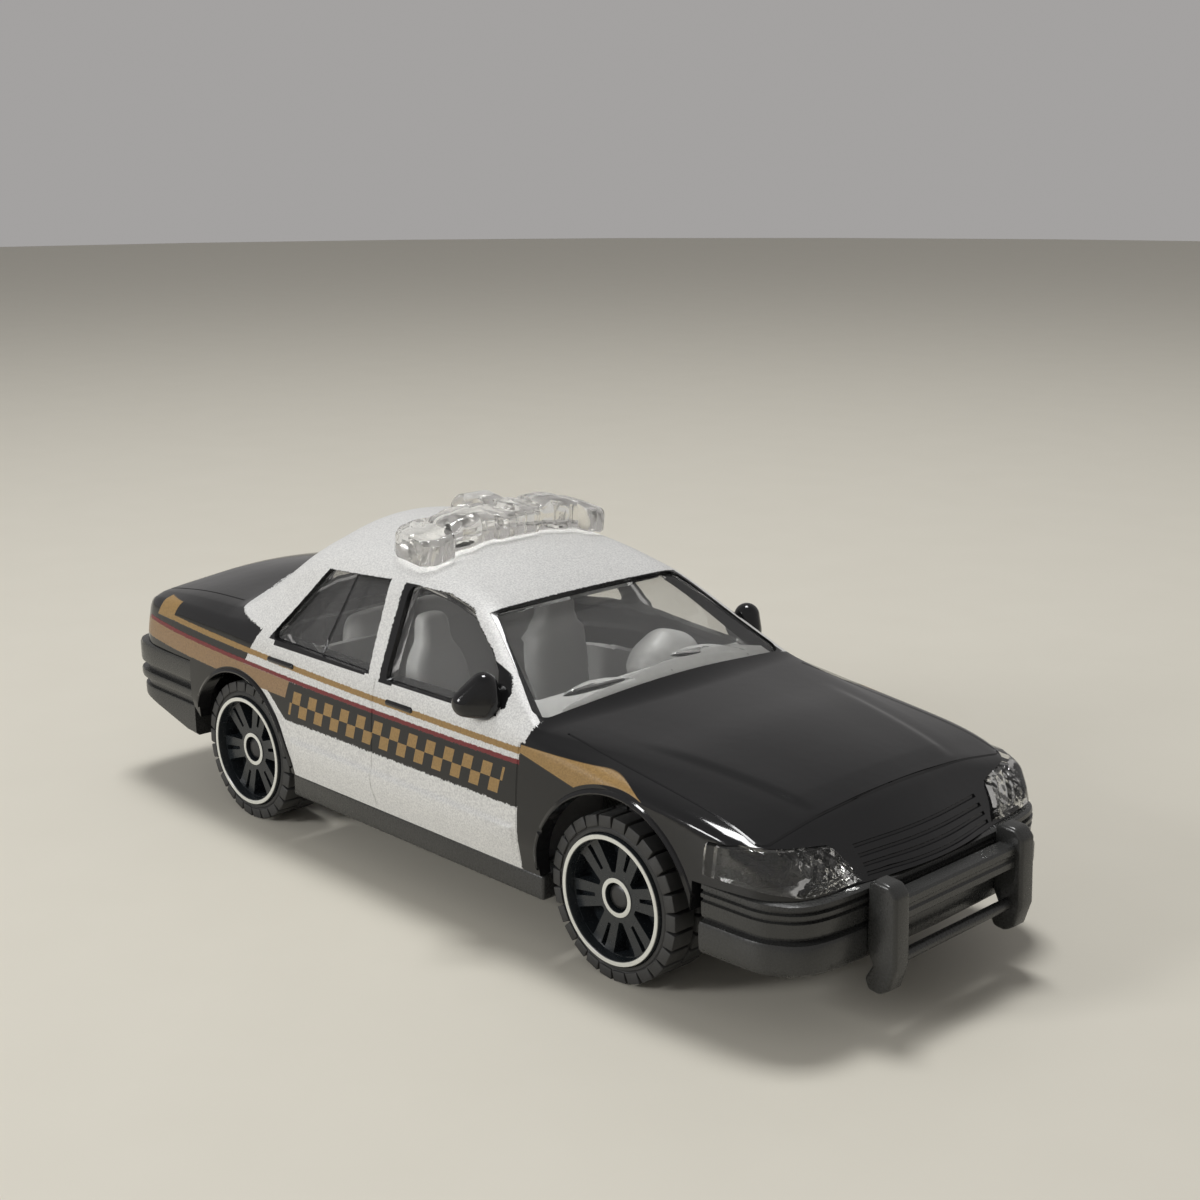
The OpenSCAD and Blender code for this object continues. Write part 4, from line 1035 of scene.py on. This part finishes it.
def bumper_plan(outline, depth):
    """A bumper's outline, drawn in by depth, from its right end to its left end."""
    way = math.copysign(1, outline[4][0])
    drawn = [Vector((x - (way * depth if i > 1 else 0), max(0, y - (depth if i < 4 else 0)), 0))
             for i, (x, y) in enumerate(outline)]
    half = soft_line(drawn, bumper_soft, 12)
    return [(p.x, p.y) for p in flip(half, -1) + half[-2::-1]]


def bumper(outline, face):
    rows = face + [(face[-1][0], bumper_wall), (face[0][0], bumper_wall)]
    plans = [[(x, y, z) for x, y in bumper_plan(outline, depth)] for z, depth in rows]
    return skin(list(zip(*plans)))


def bevelled(shape, width, segments):
    edge = shape.modifiers.new("edge", "BEVEL")
    edge.width = width * MM
    edge.segments = segments
    edge.limit_method = "ANGLE"
    edge.angle_limit = math.radians(40)
    settle(shape, 50)
    return shape


def push_lay(u, v, h):
    return push_x - u, h, v


base_black = [finish("base_black", plastic((0.027, 0.0275, 0.027), (0.038, 0.0385, 0.037), blotch=4, detail=4,
                                           speck=0.15, rough=(0.12, 0.22), bump=0.01))]
base_floor = prism(rectangle(floor_back, -floor_y, front_post_x, floor_y), floor_h, floor_top)
base = piece_of("base.moulding", base_black, base_floor)
step = rectangle(floor_back, -floor_y, floor_back + 1.4, floor_y)
sills = rectangle(-sill_end, 0.7 - half_w, sill_end, half_w - 0.7)
base_parts = [prism(step, floor_h, rear_high), bevelled(prism(sills, floor_h, skirt_h - seat_gap), 0.25, 3)]
for x in (front_x, rear_x):
    bearing = rectangle(x - boss_half, -boss_y, x + boss_half, boss_y)
    base_parts.append(prism(bearing, floor_h, axle_z + boss_half))
    for side in both:
        wing = rectangle(x - 6.6, side * inner_wing_y, x + 5.6, side * (inner_wing_y - inner_wing_t))
        base_parts.append(prism(wing, floor_top - 0.5, inner_wing_top))
rear_bumper = bumper(rear_outline, rear_face)
wedge = [(rear_face_x + 1, 0), (rear_face_x + 1, rear_low - 0.2), (rear_end, rear_high), (rear_end, 0)]
combine(rear_bumper, "DIFFERENCE", [prism(wedge, -20, 20, side_lay)])
rear_apron = prism(bumper_plan(rear_outline, 1.2), floor_h, rear_bumper_top)
slab = [(rear_face_x, rear_low), (rear_end, rear_high), (rear_end, rear_high + floor_t),
        (rear_face_x, rear_low + floor_t)]
combine(rear_apron, "INTERSECT", [prism(slab, -half_w, half_w, side_lay)])
base_parts += [bumper(front_outline, front_face), rear_bumper, rear_apron,
               prism(bumper_plan(front_outline, 1.2), 5.0, 5.8),
               prism(bumper_plan(front_outline, 3.6), floor_h, 5.4)]
for y in (-push_y, push_y):
    base_parts.append(bevelled(prism(upright, y - push_t / 2, y + push_t / 2, push_lay), 0.28, 4))
lower_bar = [(push_x - 1.1, y, floor_h + 1.2) for y in (-push_y, 0, push_y)]
base_parts += [prism(cross_bar, -push_y, push_y, push_lay), tube(lower_bar, 0.4, 20)]
combine(base, "UNION", base_parts)
# Room for the wheels, bores for the axles and stepped holes for the posts
cuts = []
for x in (front_x, rear_x):
    wheel_ring = circle(x, axle_z, tyre_r + wheel_room, 64)
    cuts += [prism(wheel_ring, boss_y * side, past_side * side, side_lay) for side in both]
    cuts.append(prism(circle(x, axle_z, bore_r, 32), -half_w, half_w, side_lay))
for x in (front_post_x, rear_post_x):
    cuts.append(prism(circle(x, 0, post_r + seat_gap, 32), 0, 20))
    cuts.append(prism(circle(x, 0, peen_r + seat_gap, 32), 0, floor_h + peen_t + seat_gap))
combine(base, "DIFFERENCE", cuts)
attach(base, "body")
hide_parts("base_plate")

# Axles. Two steel wires that turn in the base's bearings, with a head formed on each end to keep
# the wheels on.
axle_r, head_r, head_t = 0.55, 0.9, 0.4
hub_seat = 12.5
head_in = hub_seat + seat_gap
half_axle = [(axle_r, head_in), (head_r, head_in), (head_r, head_in + 0.2), (head_r - 0.12, head_in + 0.33),
             (head_r - 0.4, head_in + head_t)]
axle_profile = [(0, -head_in - head_t)] + [(r, -h) for r, h in reversed(half_axle)]
axle_profile += half_axle + [(0, head_in + head_t)]


def steel(shade):
    where, _ = shade.place()
    draw = shade.grain(where, 0.08, 2)
    return {"Base Color": draw.blend((0.05, 0.05, 0.052, 1), (0.09, 0.09, 0.092, 1)), "Metallic": 0.85,
            "Roughness": draw * 0.2 + 0.3}


def lathe(profile, steps):
    """A closed outline (radius, distance out from the car's middle) turned about the axle."""
    n = len(profile)
    points = [(r * c, -h, r * s) for c, s in circle(0, 0, 1, steps) for r, h in profile]
    faces = [(i * n + k, i * n + (k + 1) % n, (i + 1) % steps * n + (k + 1) % n, (i + 1) % steps * n + k)
             for i in range(steps) for k in range(n) if profile[k][0] or profile[(k + 1) % n][0]]
    return solid(points, faces)


steel_wire = [finish("axle_steel", steel)]
for name, x in (("front_axle", front_x), ("rear_axle", rear_x)):
    axle = piece_of(name + ".wire", steel_wire, lathe(axle_profile, 48))
    axle.location = Vector((x, 0, axle_z)) * MM
    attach(axle, name)
    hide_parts(name)

# Rims. Four dark mouldings with six split spokes, a printed white ring on the lip and another
# round the hub, turning on the axles inside their heads.
rim_r, hub_r, hub_face = 4.5, 1.35, 13.12
spokes, spoke_turn = 6, math.radians(11)
rim_profile = [(0.6, 9.4), (1.95, 9.4), (1.95, 11.0), (3.9, 11.0), (3.9, 9.5), (rim_r, 9.5), (rim_r, 13.5),
               (4.47, 13.72), (4.4, 13.8), (4.16, 13.8), (4.08, 13.74), (4.02, 13.5), (3.98, hub_face),
               (3.6, hub_face - 0.06), (1.5, hub_face - 0.1), (1.36, hub_face - 0.08),
               (1.34, hub_face - 0.02), (1.3, hub_face), (1.04, hub_face), (1.0, hub_face - 0.04),
               (1.0, hub_seat), (0.6, hub_seat)]
split = [(hub_r + 0.8, -0.09), (3.85, -0.16), (3.85, 0.16), (hub_r + 0.8, 0.09)]
pocket = [(hub_r + 0.45, -0.1), (3.75, -0.9), (3.88, 0), (3.75, 0.9), (hub_r + 0.45, 0.1)]


def rim_plastic(shade):
    where, (x, y, z) = shade.place()
    radius = shade.maths("SQRT", x * x + z * z)
    face = (y * -1).past(hub_face - 0.05)
    ring = (radius.between(4.13, 4.43, 0.03) | radius.between(1.03, 1.34, 0.03)) * face
    speck = shade.grain(where, 0.3, 3)
    return {"Base Color": ring.blend((0.017, 0.0205, 0.0235, 1), (0.70, 0.70, 0.64, 1)),
            "Roughness": speck * 0.12 + 0.2}


def wheel_lay(u, v, h):
    return u, -h, v


def on_wheels(mould, part):
    """Puts copies of a moulding on the four wheels, facing outwards."""
    for end, x in (("front", front_x), ("rear", rear_x)):
        for hand, turn in (("right", 0), ("left", math.pi)):
            node = f"{end}_{hand}_{part}"
            piece = bpy.data.objects.new(node + ".moulding", mould.data.copy())
            piece.location = Vector((x, 0, axle_z)) * MM
            piece.rotation_euler.z = turn
            scene.collection.objects.link(piece)
            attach(piece, f"{end}_{hand}_wheel")
            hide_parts(node)
    bpy.data.objects.remove(mould)


rim = piece_of("rim", [finish("rim_dark", rim_plastic)], lathe(rim_profile, 144))
cuts = []
for i in range(spokes):
    turn = spoke_turn + 2 * math.pi * i / spokes
    for corners, angle, r, deep in ((split, turn, 0.04, 0.5), (pocket, turn + math.pi / spokes, 0.1, 1.1)):
        outline = [(u * math.cos(angle) - v * math.sin(angle), u * math.sin(angle) + v * math.cos(angle))
                   for u, v in rounded(corners, r, 3)]
        cuts.append(prism(outline, hub_face - deep, hub_face + 1, wheel_lay))
combine(rim, "DIFFERENCE", cuts)
on_wheels(rim, "rim")

# Tyres. Four black mouldings pressed over the rims, each with two rows of tread blocks set half a
# pitch apart.
tyre_in, tyre_out = 9.3, 13.5
blocks, block_share, block_edge = 26, 0.76, 0.08
row_in, row_pitch, row_w = tyre_in + 0.25, 2.15, 1.8
core = tyre_r - 0.5
tyre_profile = [(rim_r + seat_gap, tyre_in), (4.9, tyre_in), (core - 0.12, tyre_in + 0.1),
                (core, tyre_in + 0.3), (core, tyre_out - 0.35), (core - 0.1, tyre_out - 0.12),
                (4.98, tyre_out - 0.02), (4.86, tyre_out - 0.08), (4.75, tyre_out),
                (rim_r + seat_gap, tyre_out)]
tyre_black = finish("tyre_black", plastic((0.03, 0.03, 0.0295), (0.044, 0.044, 0.043), blotch=1.6, detail=3,
                                          speck=0.12, rough=(0.2, 0.5), bump=0.015))
tyre = piece_of("tyre", [tyre_black], lathe(tyre_profile, 156))
half_block = math.pi * block_share / blocks
tread = []
for row in (0, 1):
    low = row_in + row * row_pitch
    high = low + row_w
    for i in range(blocks):
        middle = -math.pi / 2 + 2 * math.pi * (i + row / 2) / blocks
        balls = []
        for r, drawn_in, grip in ((core - 0.2, 0, 1.08), (tyre_r - block_edge, block_edge, 0.94)):
            for turn in (middle - half_block * grip, middle + half_block * grip):
                balls += [((r * math.cos(turn), -h, r * math.sin(turn)), block_edge)
                          for h in (low + drawn_in, high - drawn_in)]
        tread.append(hull(balls, 8))
combine(tyre, "UNION", tread)
on_wheels(tyre, "tyre")
